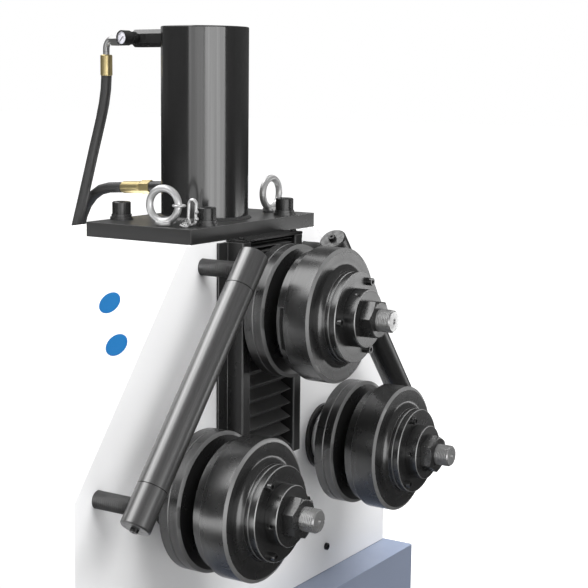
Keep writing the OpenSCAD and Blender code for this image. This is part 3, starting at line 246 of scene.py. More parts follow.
class EffectLibrary:
    """Builds each shared effect once, as a shader node group."""

    def __init__(self) -> None:
        """Starts without any group."""
        self.groups: dict[Effect, bpy.types.NodeTree] = {}

    def group(self, effect: Effect) -> bpy.types.NodeTree:
        """Gives the group of an effect, and builds it at its first use.

        Args:
            effect: The effect.

        Returns:
            Its node group.
        """
        if effect not in self.groups:
            self.groups[effect] = self._build(effect)
        return self.groups[effect]

    def _build(self, effect: Effect) -> bpy.types.NodeTree:
        """Builds the group of one effect.

        Args:
            effect: The effect.

        Returns:
            The new node group.
        """
        tree = bpy.data.node_groups.new(effect.value, "ShaderNodeTree")
        for name, default in EFFECT_INPUTS[effect].items():
            kind = "NodeSocketVector" if default is None else "NodeSocketFloat"
            socket = tree.interface.new_socket(name=name, in_out="INPUT", socket_type=kind)
            if default is not None:
                socket.default_value = default
        for name in EFFECT_OUTPUTS[effect]:
            tree.interface.new_socket(name=name, in_out="OUTPUT", socket_type="NodeSocketFloat")
        wiring = Wiring(tree)
        enter = wiring.add("NodeGroupInput").outputs
        leave = wiring.add("NodeGroupOutput").inputs
        makers: dict[Effect, Callable[..., None]] = {
            Effect.SKIN: self._skin,
            Effect.TURNING: self._turning,
            Effect.HANDLING: self._handling,
            Effect.BARE_EDGE_AND_HIGHLIGHT: self._bare_edge_and_highlight,
            Effect.DRAWN: self._drawn,
        }
        makers[effect](wiring, enter, leave)
        return tree

    @staticmethod
    def _skin(wiring: Wiring, enter: Outlets, leave: Inlets) -> None:
        """Wires the fine peel and the slow mottle of a sprayed coat.

        Args:
            wiring: The group's nodes.
            enter: What comes into the group.
            leave: What it gives.
        """
        wiring.put(leave["Height"], wiring.noise(enter["Vector"], enter["Peel"], detail=2.0, rough=0.5))
        slow = wiring.noise(enter["Vector"], enter["Mottle"], detail=4.0, rough=0.55)
        wiring.put(leave["Mottle"], wiring.share(slow, 0.3, 0.7))

    @staticmethod
    def _turning(wiring: Wiring, enter: Outlets, leave: Inlets) -> None:
        """Wires the rings that a lathe leaves round the Y axis of the vector.

        Only faces that look along the axis read the radius, as the flat faces of a turned
        mesh would make blotches of it elsewhere.

        Args:
            wiring: The group's nodes.
            enter: What comes into the group.
            leave: What it gives.
        """
        along = wiring.split(enter["Vector"])[1]
        square = wiring.share(wiring.tilt(), 0.2, 0.5)
        radius = wiring.times(wiring.radius(enter["Vector"]), square)
        place = wiring.add("ShaderNodeCombineXYZ", {0: radius, 1: along, 2: 0.0}).outputs[0]
        wiring.put(leave["Height"], wiring.noise(place, enter["Fine"], detail=2.0))
        wiring.put(leave["Bands"], wiring.share(wiring.noise(place, enter["Broad"]), 0.25, 0.75))

    @staticmethod
    def _drawn(wiring: Wiring, enter: Outlets, leave: Inlets) -> None:
        """Wires fine lines and broader streaks that run along the Y axis of the vector.

        Args:
            wiring: The group's nodes.
            enter: What comes into the group.
            leave: What it gives.
        """
        stretch = {"Vector": enter["Vector"], "Scale": (1.0, 0.006, 1.0)}
        place = wiring.add("ShaderNodeMapping", stretch).outputs[0]
        wiring.put(leave["Height"], wiring.noise(place, enter["Fine"], detail=2.0))
        slow = wiring.noise(place, wiring.times(enter["Fine"], 0.3))
        wiring.put(leave["Streak"], wiring.share(slow, 0.3, 0.7))

    @staticmethod
    def _handling(wiring: Wiring, enter: Outlets, leave: Inlets) -> None:
        """Wires soft smudges and a few small flecks.

        Args:
            wiring: The group's nodes.
            enter: What comes into the group.
            leave: What it gives.
        """
        cloud = wiring.noise(enter["Vector"], enter["Scale"], detail=5.0)
        wiring.put(leave["Smudge"], wiring.share(cloud, 0.42, 0.68))
        fleck = wiring.noise(enter["Vector"], wiring.times(enter["Scale"], 22.0), rough=0.65)
        wiring.put(leave["Fleck"], wiring.share(fleck, 0.66, 0.74))

    @staticmethod
    def _bare_edge_and_highlight(wiring: Wiring, enter: Outlets, leave: Inlets) -> None:
        """Wires a mask of slanted faces between two radii round the Y axis of the vector.

        Args:
            wiring: The group's nodes.
            enter: What comes into the group.
            leave: What it gives.
        """
        radius = wiring.radius(enter["Vector"])
        past = wiring.math("SUBTRACT", radius, enter["Inner"])
        short = wiring.math("SUBTRACT", enter["Outer"], radius)
        above, below = (wiring.math("DIVIDE", gap, enter["Soft"], clamp=True) for gap in (past, short))
        tilt = wiring.tilt()
        slanted = wiring.times(wiring.share(tilt, 0.2, 0.3), wiring.remap(tilt, 0.97, 0.99, 1.0, 0.0))
        wiring.put(leave["Edge"], wiring.times(wiring.times(above, below), slanted))


EFFECTS = EffectLibrary()
MADE: dict[str, bpy.types.Material] = {}


@dataclass(frozen=True)
class Finish:
    """A finish of one surface, with the values that its material needs.

    Attributes:
        name: Name of the material.
        colour: Main colour, linear.
        second: Colour that the main one drifts to.
        roughness: Mean roughness.
        spread: How far the roughness drifts.
        metallic: 1 for bare metal and 0 for paint.
        centre: Point on the axis that the pattern runs round.
        direction: Direction of that axis.
    """

    name: str
    colour: Colour
    second: Colour
    roughness: float = 0.5
    spread: float = 0.08
    metallic: float = 0.0
    centre: Point = (0.0, 0.0, 0.0)
    direction: Point = (0.0, 1.0, 0.0)

    def material(self) -> bpy.types.Material:
        """Gives the material, and builds it at its first use.

        Returns:
            The material.
        """
        if self.name in MADE:
            return MADE[self.name]
        made = bpy.data.materials.new(f"{self.name}_finish")
        MADE[self.name] = made
        made.use_nodes = True
        made.node_tree.nodes.clear()
        wiring = Wiring(made.node_tree)
        shader = wiring.add("ShaderNodeBsdfPrincipled", {"Metallic": self.metallic})
        wiring.add("ShaderNodeOutputMaterial", {"Surface": shader.outputs[0]})
        self.dress(wiring, shader, self.place(wiring))
        return made

    def place(self, wiring: Wiring) -> Socket:
        """Turns and moves the object's coordinates so that Y runs along the axis.

        Args:
            wiring: The material's nodes.

        Returns:
            The turned and moved coordinates.
        """
        turn = Vector(self.direction).rotation_difference(Vector((0, 1, 0)))
        move = -(turn @ Vector(self.centre))
        source = wiring.add("ShaderNodeTexCoord").outputs["Object"]
        values = {"Vector": source, "Location": tuple(move), "Rotation": tuple(turn.to_euler())}
        return wiring.add("ShaderNodeMapping", values).outputs[0]

    def effect(self, wiring: Wiring, effect: Effect, vector: object, **values: float) -> Outlets:
        """Places one shared effect with its own values and gives its outputs.

        Args:
            wiring: The material's nodes.
            effect: The effect.
            vector: The place on the piece.
            **values: Values of its other inputs.

        Returns:
            The outputs.
        """
        node = wiring.add("ShaderNodeGroup")
        node.node_tree = EFFECTS.group(effect)
        wiring.put(node.inputs["Vector"], vector)
        for key, value in values.items():
            wiring.put(node.inputs[key], value)
        return node.outputs

    def drift(self, wiring: Wiring, share: Socket) -> Socket:
        """Lets the roughness drift with a value from 0 to 1 and gives it."""
        return wiring.remap(share, 0.0, 1.0, self.roughness - self.spread, self.roughness + self.spread)

    def bump(self, wiring: Wiring, shader: Node, height: object, strength: float, depth: float) -> None:
        """Raises the surface a little by a height."""
        node = wiring.add("ShaderNodeBump", {"Strength": strength, "Distance": depth, "Height": height})
        wiring.put(shader.inputs["Normal"], node.outputs[0])

    def dress(self, wiring: Wiring, shader: Node, vector: Socket) -> None:
        """Wires the surface of the material."""
        raise NotImplementedError


@dataclass(frozen=True)
class Paint(Finish):
    """A sprayed or powder coat.

    Attributes:
        coat: Weight of a clear gloss over the coat.
        peel: Fineness of the orange peel.
        relief: Height of the orange peel.
        dust: Weight of the paler flecks.
        index: Refractive index, which sets how strongly it mirrors.
        lines: Fineness of the lines that show through the coat along its axis, or 0 for none.
    """

    coat: float = 0.0
    peel: float = 700.0
    relief: float = 0.00004
    dust: float = 0.12
    index: float = 1.5
    lines: float = 0.0

    def dress(self, wiring: Wiring, shader: Node, vector: Socket) -> None:
        """Wires the mottled colour, the drifting gloss, the peel and the lines.

        Args:
            wiring: The material's nodes.
            shader: Its surface node.
            vector: The place on the piece, with Y along its axis.
        """
        skin = self.effect(wiring, Effect.SKIN, vector, Peel=self.peel)
        marks = self.effect(wiring, Effect.HANDLING, vector, Scale=5.0)
        body = wiring.mix(skin["Mottle"], self.colour, self.second)
        fleck = wiring.times(marks["Fleck"], self.dust)
        wiring.put(shader.inputs["Base Color"], wiring.mix(fleck, body, paler(self.colour, 1.25)))
        rough = self.drift(wiring, marks["Smudge"])
        height = skin["Height"]
        if self.lines:
            drawn = self.effect(wiring, Effect.DRAWN, vector, Fine=self.lines)
            rough = wiring.math("ADD", rough, wiring.times(drawn["Streak"], 0.1))
            mirror = wiring.remap(drawn["Streak"], 0.0, 1.0, 0.62, 0.36)
            wiring.put(shader.inputs["Specular IOR Level"], mirror)
            height = wiring.math("ADD", height, drawn["Height"])
        wiring.put(shader.inputs["Roughness"], rough)
        wiring.put(shader.inputs["IOR"], self.index)
        wiring.put(shader.inputs["Coat Weight"], self.coat)
        wiring.put(shader.inputs["Coat Roughness"], 0.12)
        self.bump(wiring, shader, height, 0.35, self.relief)


@dataclass(frozen=True)
class TurnedSteel(Finish):
    """Turned steel with rings round its axis and bright edges, which are bare wear and also a painted
    highlight.

    Attributes:
        edge: Colour of the bright edges: bare wear, made lighter as a painted highlight.
        inner: Smallest radius of the bright edges.
        outer: Largest radius of the bright edges.
        skip: A band of radii that keeps the main colour, as it is curved and not an edge.
        fine: Fineness of the rings.
        broad: Fineness of the bands that the rings lie in.
    """

    edge: Colour = (0.6, 0.6, 0.6)
    inner: float = 0.0
    outer: float = 0.2
    skip: tuple[float, float] = (0.9, 0.91)
    fine: float = 2600.0
    broad: float = 260.0

    def dress(self, wiring: Wiring, shader: Node, vector: Socket) -> None:
        """Wires the rings, the smudges and the bright edges, bare wear with a painted highlight, which are
        duller and less metallic.

        Args:
            wiring: The material's nodes.
            shader: Its surface node.
            vector: The place on the piece, with Y along its axis.
        """
        marks = self.effect(wiring, Effect.TURNING, vector, Fine=self.fine, Broad=self.broad)
        touch = self.effect(wiring, Effect.HANDLING, vector, Scale=16.0)
        bands = ((self.inner, self.skip[0]), (self.skip[1], self.outer))
        low, high = (self.effect(wiring, Effect.BARE_EDGE_AND_HIGHLIGHT, vector, Inner=inner, Outer=outer)["Edge"]
                     for inner, outer in bands)
        # The chamfers' lighter colour is bare wear and a painted highlight.
        edge = wiring.math("MAXIMUM", low, high)
        worn = wiring.times(edge, wiring.remap(marks["Bands"], 0.0, 1.0, 0.75, 1.0))
        body = wiring.mix(marks["Bands"], self.colour, self.second)
        spotted = wiring.mix(wiring.times(touch["Fleck"], 0.2), body, paler(self.second, 1.3))
        wiring.put(shader.inputs["Base Color"], wiring.mix(worn, spotted, self.edge))
        dull = wiring.math("ADD", self.drift(wiring, touch["Smudge"]), wiring.times(edge, 0.1))
        wiring.put(shader.inputs["Roughness"], dull)
        metallic = wiring.math("SUBTRACT", self.metallic, wiring.times(worn, 0.3))
        wiring.put(shader.inputs["Metallic"], metallic)
        self.bump(wiring, shader, marks["Height"], 0.25, 0.000008)


@dataclass(frozen=True)
class DrawnSteel(Finish):
    """Ground bar steel with streaks along its axis.

    Attributes:
        lines: Fineness of the lines.
    """

    lines: float = 900.0

    def dress(self, wiring: Wiring, shader: Node, vector: Socket) -> None:
        """Wires the streaks, the fine lines and a few flecks.

        Args:
            wiring: The material's nodes.
            shader: Its surface node.
            vector: The place on the piece, with Y along its axis.
        """
        drawn = self.effect(wiring, Effect.DRAWN, vector, Fine=self.lines)
        touch = self.effect(wiring, Effect.HANDLING, vector, Scale=9.0)
        body = wiring.mix(drawn["Streak"], self.colour, self.second)
        spotted = wiring.mix(wiring.times(touch["Fleck"], 0.2), body, paler(self.colour, 1.3))
        wiring.put(shader.inputs["Base Color"], spotted)
        wiring.put(shader.inputs["Roughness"], self.drift(wiring, drawn["Streak"]))
        self.bump(wiring, shader, drawn["Height"], 0.3, 0.00002)


@dataclass(frozen=True)
class CastSkin(Finish):
    """A lightly hammered, plated or forged skin.

    Attributes:
        dent: Fineness of the dents.
        depth: Depth of the dents.
    """

    dent: float = 260.0
    depth: float = 0.0003

    def dress(self, wiring: Wiring, shader: Node, vector: Socket) -> None:
        """Wires soft dents and a drifting colour.

        Args:
            wiring: The material's nodes.
            shader: Its surface node.
            vector: The place on the piece, with Y along its axis.
        """
        skin = self.effect(wiring, Effect.SKIN, vector, Peel=self.dent, Mottle=40.0)
        touch = self.effect(wiring, Effect.HANDLING, vector, Scale=40.0)
        wiring.put(shader.inputs["Base Color"], wiring.mix(skin["Mottle"], self.colour, self.second))
        wiring.put(shader.inputs["Roughness"], self.drift(wiring, touch["Smudge"]))
        self.bump(wiring, shader, skin["Height"], 0.5, self.depth)


@dataclass(frozen=True)
class Rubber(Finish):
    """Smooth rubber or coated cloth.

    Attributes:
        weave: Threads per metre of the cloth below the coat, or 0 for plain rubber.
    """

    weave: float = 0.0

    def dress(self, wiring: Wiring, shader: Node, vector: Socket) -> None:
        """Wires the dull skin, and the faint weave where there is cloth.

        Args:
            wiring: The material's nodes.
            shader: Its surface node.
            vector: The place on the piece, with Y along its axis.
        """
        skin = self.effect(wiring, Effect.SKIN, vector, Peel=1400.0, Mottle=18.0)
        touch = self.effect(wiring, Effect.HANDLING, vector, Scale=24.0)
        wiring.put(shader.inputs["Base Color"], wiring.mix(skin["Mottle"], self.colour, self.second))
        wiring.put(shader.inputs["Roughness"], self.drift(wiring, touch["Smudge"]))
        if self.weave:
            wave = {"Vector": vector, "Scale": self.weave, "Distortion": 0.4}
            warp, weft = (
                wiring.add("ShaderNodeTexWave", wave, bands_direction=way).outputs[1] for way in "XZ")
            self.bump(wiring, shader, wiring.math("ADD", warp, weft), 0.3, 0.00012)
        else:
            self.bump(wiring, shader, skin["Height"], 0.3, 0.00005)


@dataclass(frozen=True)
class ClearGlass(Finish):
    """Thin clear glass."""

    def dress(self, wiring: Wiring, shader: Node, vector: Socket) -> None:
        """Sets the plain values of clear glass.

        Args:
            wiring: The material's nodes.
            shader: Its surface node.
            vector: The place on the piece, with Y along its axis.
        """
        wiring.put(shader.inputs["Base Color"], self.colour)
        wiring.put(shader.inputs["Roughness"], self.roughness)
        wiring.put(shader.inputs["Transmission Weight"], 1.0)
        wiring.put(shader.inputs["IOR"], 1.45)


CABINET_PAINT = Paint("cabinet_blue_grey", shade(119, 127, 145), shade(115, 124, 142), 0.42, relief=0.00006)
WHITE_PAINT = Paint("body_white", shade(234, 234, 234), shade(230, 230, 231), 0.4, 0.05)
FRAME_PRIMER = Paint("frame_primer", grey(70), grey(60), 0.7)
MOTOR_PAINT = Paint("motor_blue", shade(78, 104, 138), shade(72, 98, 132), 0.38, coat=0.2)
DISC_BLUE = Paint("plain_blue_disc", shade(20, 88, 139), shade(18, 85, 136), 0.5, index=1.15)
SATIN_BLACK = Paint("satin_black", grey(38), grey(33), 0.34, 0.08, peel=480.0)
GLOSS_BLACK = Paint(
    "gloss_black", grey(30), grey(26), 0.12, 0.03, direction=(0.0, 0.0, 1.0), relief=0.00002, index=2.0,
    lines=420.0)
GAUGE_BLACK = Paint("gauge_black", grey(30), grey(26), 0.3, coat=0.3)
DIAL_WHITE = Paint("dial_white", shade(224, 223, 232), shade(216, 215, 225), 0.5)
NEEDLE_GREY = Paint("needle_grey", grey(128), grey(118), 0.4)
BLACK_OXIDE = CastSkin("black_oxide", grey(46), grey(34), 0.32, 0.08, 0.6, dent=900.0, depth=0.00003)
WORN_EDGE = CastSkin("worn_edge", grey(120), grey(96), 0.4, 0.08, 0.6, dent=1200.0, depth=0.00003)
BRIGHT_STEEL = CastSkin("bright_steel", grey(194), grey(168), 0.34, 0.08, 0.86, dent=1500.0, depth=0.00002)
CHROME_ROD = CastSkin("hard_chrome", grey(222), grey(214), 0.14, 0.04, 1.0, dent=1500.0, depth=0.00001)
ZINC = CastSkin("bright_zinc", grey(216), grey(190), 0.4, 0.1, 0.8, dent=330.0, depth=0.0004)
ELBOW_ZINC = CastSkin("elbow_zinc", grey(180), grey(158), 0.38, 0.08, 0.85, dent=620.0, depth=0.0002)
# bolt_black is a lighter copy of black_oxide: the extra lightness is a painted highlight for the glints on
# the knurled heads.
BOLT_BLACK = CastSkin("bolt_black", grey(76), grey(52), 0.28, 0.08, 0.7, dent=900.0, depth=0.00003)
WASHER_DARK = CastSkin("washer_dark", grey(96), grey(66), 0.32, 0.08, 0.7, dent=900.0, depth=0.00003)
NUT_STEEL = CastSkin("nut_steel", grey(108), grey(88), 0.3, 0.05, 0.9, dent=900.0, depth=0.00001)
BRASS = CastSkin(
    "yellow_brass", shade(214, 198, 148), shade(198, 180, 130), 0.34, 0.05, 0.9, dent=1200.0, depth=0.000003)
THREAD_STEEL = CastSkin("thread_steel", grey(128), grey(100), 0.36, 0.08, 0.85, dent=1500.0, depth=0.00002)
HOSE_RUBBER = Rubber("hose_rubber", grey(52), grey(46), 0.46)
BELLOWS_CLOTH = Rubber("bellows_cloth", grey(78), grey(64), 0.5, weave=900.0)
GAUGE_GLASS = ClearGlass("gauge_glass", (1.0, 1.0, 1.0), (1.0, 1.0, 1.0), 0.03)


@dataclass(frozen=True)
class NodeFacts:
    """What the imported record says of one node.

    Attributes:
        body: The body that the node rides on.
        slot: Its material slot.
    """

    body: str
    slot: str


def read_facts() -> dict[str, NodeFacts]:
    """Reads the body and the material slot of every node.

    Returns:
        The facts by node.
    """
    record = frame["record"]
    slots = {entry["node"]: entry["material_slot"] for entry in record["subparts"]}
    return {
        node: NodeFacts(body, slots[node])
        for body, nodes in record["behaviour"]["bodies"].items() for node in nodes
    }


FACTS = read_facts()


def make_piece(
    name: str, mesh: Mesh, finishes: Iterable[Finish], body: str | None,
    replaces: Iterable[str] = (), sharp: float = 32.0, recalc: bool = True, weighted: bool = True,
) -> bpy.types.Object:
    """Makes a finished object from mesh data that is already in its place.

    Args:
        name: Name of the piece.
        mesh: Its mesh data, which is freed.
        finishes: Its finishes, in the order of the faces' material numbers.
        body: The body that it rides on, or None where it is joined to two.
        replaces: The CAD nodes that it stands for.
        sharp: Angle in degrees above which an edge stays sharp.
        recalc: Whether its faces are turned outwards first.
        weighted: Whether large faces keep their own direction beside small rounded ones.

    Returns:
        The new object.
    """
    if recalc:
        bmesh.ops.recalc_face_normals(mesh, faces=mesh.faces)
    data = bpy.data.meshes.new(name)
    mesh.to_mesh(data)
    mesh.free()
    for finish in finishes:
        data.materials.append(finish.material())
    data.shade_smooth()
    data.set_sharp_from_angle(angle=math.radians(sharp))
    made = bpy.data.objects.new(name, data)
    bpy.context.scene.collection.objects.link(made)
    if weighted:
        modifier = made.modifiers.new("Large faces first", "WEIGHTED_NORMAL")
        modifier.mode = "FACE_AREA"
        modifier.weight = 50
        modifier.keep_sharp = True
    if body is not None:
        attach(made, body)
    if replaces:
        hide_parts(*replaces)
    return made


def replace_node(
    node: str, name: str, mesh: Mesh, finishes: Iterable[Finish], sharp: float = 32.0, rides: bool = True,
    recalc: bool = True, weighted: bool = True,
) -> bpy.types.Object:
    """Makes a piece that stands for a CAD node, on its body.

    Args:
        node: The node.
        name: Name of the piece.
        mesh: Its mesh data, which is freed.
        finishes: Its finishes, in the order of the faces' material numbers.
        sharp: Angle in degrees above which an edge stays sharp.
        rides: Whether it rides on the node's body. It doesn't where it is joined to two.
        recalc: Whether its faces are turned outwards first.
        weighted: Whether large faces keep their own direction beside small rounded ones.

    Returns:
        The new object.
    """
    facts = FACTS[node]
    body = facts.body if rides else None
    log.info("%s stands for %s", name, node)
    return make_piece(name, mesh, finishes, body, [node], sharp, recalc, weighted)


def dress_node(node: str, finish: Finish) -> None:
    """Gives a CAD node that keeps its own mesh its finish.

    Args:
        node: The node.
        finish: The finish.
    """
    data = frame["nodes"][node].data
    data.materials.clear()
    data.materials.append(finish.material())
    log.info("%s keeps its mesh and gets %s", node, finish.name)


def merged_copy(node: str) -> Mesh:
    """Copies a CAD node's mesh, merged and with its flat faces joined.

    Args:
        node: The node.

    Returns:
        The copy.
    """
    mesh = bmesh.new()
    mesh.from_mesh(frame["nodes"][node].data)
    bmesh.ops.remove_doubles(mesh, verts=mesh.verts, dist=2e-6)
    bmesh.ops.dissolve_limit(
        mesh, angle_limit=math.radians(0.6), use_dissolve_boundaries=False, verts=mesh.verts,
        edges=mesh.edges)
    return mesh


def round_edges(
    mesh: Mesh, width: float, segments: int, choose: EdgeTest | None = None, angle: float = 40.0,
) -> list[Face]:
    """Rounds the sharp edges of a mesh.

    Args:
        mesh: The mesh.
        width: Width of the rounding.
        segments: Faces across it.
        choose: A further test that an edge has to pass.
        angle: Only edges sharper than this, in degrees, are rounded.

    Returns:
        The new faces.
    """
    edges = [edge for edge in mesh.edges if len(edge.link_faces) == 2
             and edge.calc_face_angle(0.0) > math.radians(angle) and (choose is None or choose(edge))]
    return bmesh.ops.bevel(
        mesh, geom=edges, offset=width, offset_type="OFFSET", segments=segments, profile=0.5,
        affect="EDGES", material=-1, clamp_overlap=True)["faces"]


def skin_node(
    node: str, finish: Finish, width: float = 0.0, segments: int = 2, edge: Finish | None = None,
    sharp: float = 32.0, choose: EdgeTest | None = None,
) -> None:
    """Replaces a CAD node by a smooth copy, with rounded edges where a width is given.

    Args:
        node: The node.
        finish: Its finish.
        width: Width of the rounding of its sharp edges, or 0 for none.
        segments: Faces across a rounding.
        edge: A finish for the roundings, where the coat is worn.
        sharp: Angle in degrees above which an edge stays sharp.
        choose: A further test that an edge has to pass to be rounded.
    """
    mesh = merged_copy(node)
    finishes = [finish]
    if width:
        faces = round_edges(mesh, width, segments, choose)
        if edge is not None:
            finishes.append(edge)
            for face in faces:
                face.material_index = 1
    replace_node(node, f"{node}_skin", mesh, finishes, sharp, recalc=False)


def only(kind: type, items: Iterable[object]) -> list:
    """Picks the items of one kind from what an operator gives."""
    return [item for item in items if isinstance(item, kind)]


def facing(direction: Vector) -> Matrix:
    """Gives the turn of a piece that faces -Y after which it faces a direction."""
    return Vector((0, -1, 0)).rotation_difference(direction).to_matrix().to_4x4()


def placed(mesh: Mesh, place: Matrix) -> Mesh:
    """Moves a whole mesh and gives it back."""
    bmesh.ops.transform(mesh, matrix=place, verts=mesh.verts)
    return mesh


def joined(parts: Iterable[Mesh]) -> Mesh:
    """Joins meshes into a new one and frees them.

    Args:
        parts: The meshes.

    Returns:
        The new mesh.
    """
    mesh = bmesh.new()
    for part in parts:
        holder = bpy.data.meshes.new("joined")
        part.to_mesh(holder)
        part.free()
        mesh.from_mesh(holder)
        bpy.data.meshes.remove(holder)
    return mesh


def turned_mesh(points: Outline, steps: int = 96) -> Mesh:
    """Spins a closed outline round the Y axis.

    Args:
        points: The outline as pairs of radius and place along -Y, in millimetres. Its first and
            last points lie on the axis, or it closes on itself.
        steps: Faces round the axis.

    Returns:
        The mesh, in metres, closed.
    """
    mesh = bmesh.new()
    verts = [mesh.verts.new((radius * MM, -along * MM, 0.0)) for radius, along in points]
    edges = [mesh.edges.new(pair) for pair in zip(verts, verts[1:])]
    if verts[0].co.x > 1e-6:
        edges.append(mesh.edges.new((verts[-1], verts[0])))
    bmesh.ops.spin(
        mesh, geom=verts + edges, cent=(0, 0, 0), axis=(0, 1, 0), angle=math.tau, steps=steps,
        use_merge=True)
    bmesh.ops.remove_doubles(mesh, verts=mesh.verts, dist=2e-6)
    return mesh


def thread_mesh(major_mm: float, pitch_mm: float, start_mm: float, end_mm: float, steps: int = 28) -> Mesh:
    """Winds a thread round the Y axis and cuts it square at both ends.

    Args:
        major_mm: Outer diameter of the thread.
        pitch_mm: Its pitch.
        start_mm: Where it starts along -Y.
        end_mm: Where it ends along -Y.
        steps: Faces in one turn.

    Returns:
        The closed mesh, in metres.
    """
    turns = math.ceil((end_mm - start_mm) / pitch_mm) + 3
    crest, root = major_mm / 2, major_mm / 2 - pitch_mm * 0.6
    first = start_mm - pitch_mm * 1.5
    mesh = bmesh.new()
    outline_shares = [(root, 0.0), (crest, 0.45), (crest, 0.58), (root, 1.0)]
    verts = [mesh.verts.new((radius * MM, -(first + share * pitch_mm) * MM, 0.0))
             for radius, share in outline_shares]
    edges = [mesh.edges.new(pair) for pair in zip(verts, verts[1:])]
    bmesh.ops.spin(
        mesh, geom=verts + edges, cent=(0, 0, 0), axis=(0, 1, 0), dvec=(0, -pitch_mm * MM / steps, 0),
        angle=math.tau * turns, steps=steps * turns)
    bmesh.ops.remove_doubles(mesh, verts=mesh.verts, dist=1e-5)
    for at, side in ((start_mm, 1.0), (end_mm, -1.0)):
        cut = bmesh.ops.bisect_plane(
            mesh, geom=mesh.verts[:] + mesh.edges[:] + mesh.faces[:], dist=1e-7, plane_co=(0, -at * MM, 0),
            plane_no=(0, side, 0), clear_outer=True)
        bmesh.ops.edgeloop_fill(mesh, edges=only(Edge, cut["geom_cut"]))
    return mesh


def link_mesh(length_mm: float, width_mm: float, wire_mm: float) -> Mesh:
    """Makes a closed wire link, which lies in the X-Y plane and is long along Y.

    Args:
        length_mm: Its outer length.
        width_mm: Its outer width. A ring has the same length and width.
        wire_mm: Diameter of the wire.

    Returns:
        The mesh.
    """
    mesh = bmesh.new()
    bend = (width_mm - wire_mm) / 2 * MM
    half = (length_mm - width_mm) / 2 * MM
    spot = Matrix.Translation((bend, half, 0.0)) @ Matrix.Rotation(math.pi / 2, 4, "X")
    bmesh.ops.create_circle(mesh, cap_ends=False, radius=wire_mm / 2 * MM, segments=14, matrix=spot)
    edges = mesh.edges[:]
    for end in (half, -half):
        turned = bmesh.ops.spin(
            mesh, geom=edges, cent=(0, end, 0), axis=(0, 0, 1), angle=math.pi, steps=16)
        edges = only(Edge, turned["geom_last"])
        if half > 1e-6:
            pulled = bmesh.ops.extrude_edge_only(mesh, edges=edges)["geom"]
            ring = only(Vert, pulled)
            bmesh.ops.translate(mesh, verts=ring, vec=(0, -end * 2, 0))
            edges = [edge for edge in only(Edge, pulled) if all(vert in ring for vert in edge.verts)]
    bmesh.ops.remove_doubles(mesh, verts=mesh.verts, dist=5e-6)
    return mesh


def highest_face(mesh: Mesh, measure: Callable[[Face], float]) -> Face:
    """Gives the highest face of a mesh, and among equals the one of the largest measure."""
    return max(mesh.faces, key=lambda face: (round(face.calc_center_median().z, 7), measure(face)))


def screw_mesh(head_mm: float, height_mm: float, drive_mm: float, dome_mm: float = 0.6) -> Mesh:
    """Makes a small round screw head with a socket, on the origin's X-Z plane and facing -Y.

    Args:
        head_mm: Diameter of the head.
        height_mm: Its height.
        drive_mm: Width of the socket.
        dome_mm: Width of the rounding at its rim.

    Returns:
        The mesh.
    """
    rim_share, well_share = 0.8, 0.6
    mesh = bmesh.new()
    disc = bmesh.ops.create_circle(mesh, cap_ends=True, radius=head_mm / 2 * MM, segments=24)["verts"]
    top = bmesh.ops.extrude_face_region(mesh, geom=[disc[0].link_faces[0]])["geom"]
    bmesh.ops.translate(mesh, verts=only(Vert, top), vec=(0, 0, height_mm * MM))
    rim = list(only(Face, top)[0].edges)
    bmesh.ops.bevel(
        mesh, geom=rim, offset=dome_mm * MM, segments=2, profile=0.5, affect="EDGES", material=-1)
    cap = highest_face(mesh, lambda face: face.calc_area())
    bmesh.ops.inset_region(mesh, faces=[cap], thickness=(head_mm - drive_mm) / 2 * MM * rim_share)
    inner = highest_face(mesh, lambda face: len(face.verts))
    well = bmesh.ops.extrude_face_region(mesh, geom=[inner])["geom"]
    bmesh.ops.translate(mesh, verts=only(Vert, well), vec=(0, 0, -height_mm * well_share * MM))
    bmesh.ops.delete(mesh, geom=[inner], context="FACES_ONLY")
    return placed(mesh, Matrix.Rotation(math.pi / 2, 4, "X"))


class LampRole(Enum):
    """What a lamp is for."""

    BOX = "lights the machine and shows in no mirror"
    CARD = "shows in mirrors only"


@dataclass(frozen=True)
class Lamp:
    """One flat lamp.

    Attributes:
        name: Its name.
        place: Where it stands.
        target: The point that it faces.
        size: Its width and height.
        power: Its power in watts.
        role: What it is for.
    """

    name: str
    place: Point
    target: Point
    size: tuple[float, float]
    power: float
    role: LampRole

    def build(self) -> None:
        """Makes the lamp."""
        data = bpy.data.lights.new(self.name, "AREA")
        data.shape = "RECTANGLE"
        data.size, data.size_y = self.size
        data.energy = self.power
        lamp = bpy.data.objects.new(self.name, data)
        lamp.location = self.place
        aim = Vector(self.target) - Vector(self.place)
        lamp.rotation_euler = aim.to_track_quat("-Z", "Y").to_euler()
        lamp.visible_diffuse = self.role is LampRole.BOX
        lamp.visible_glossy = self.role is LampRole.CARD
        bpy.context.scene.collection.objects.link(lamp)


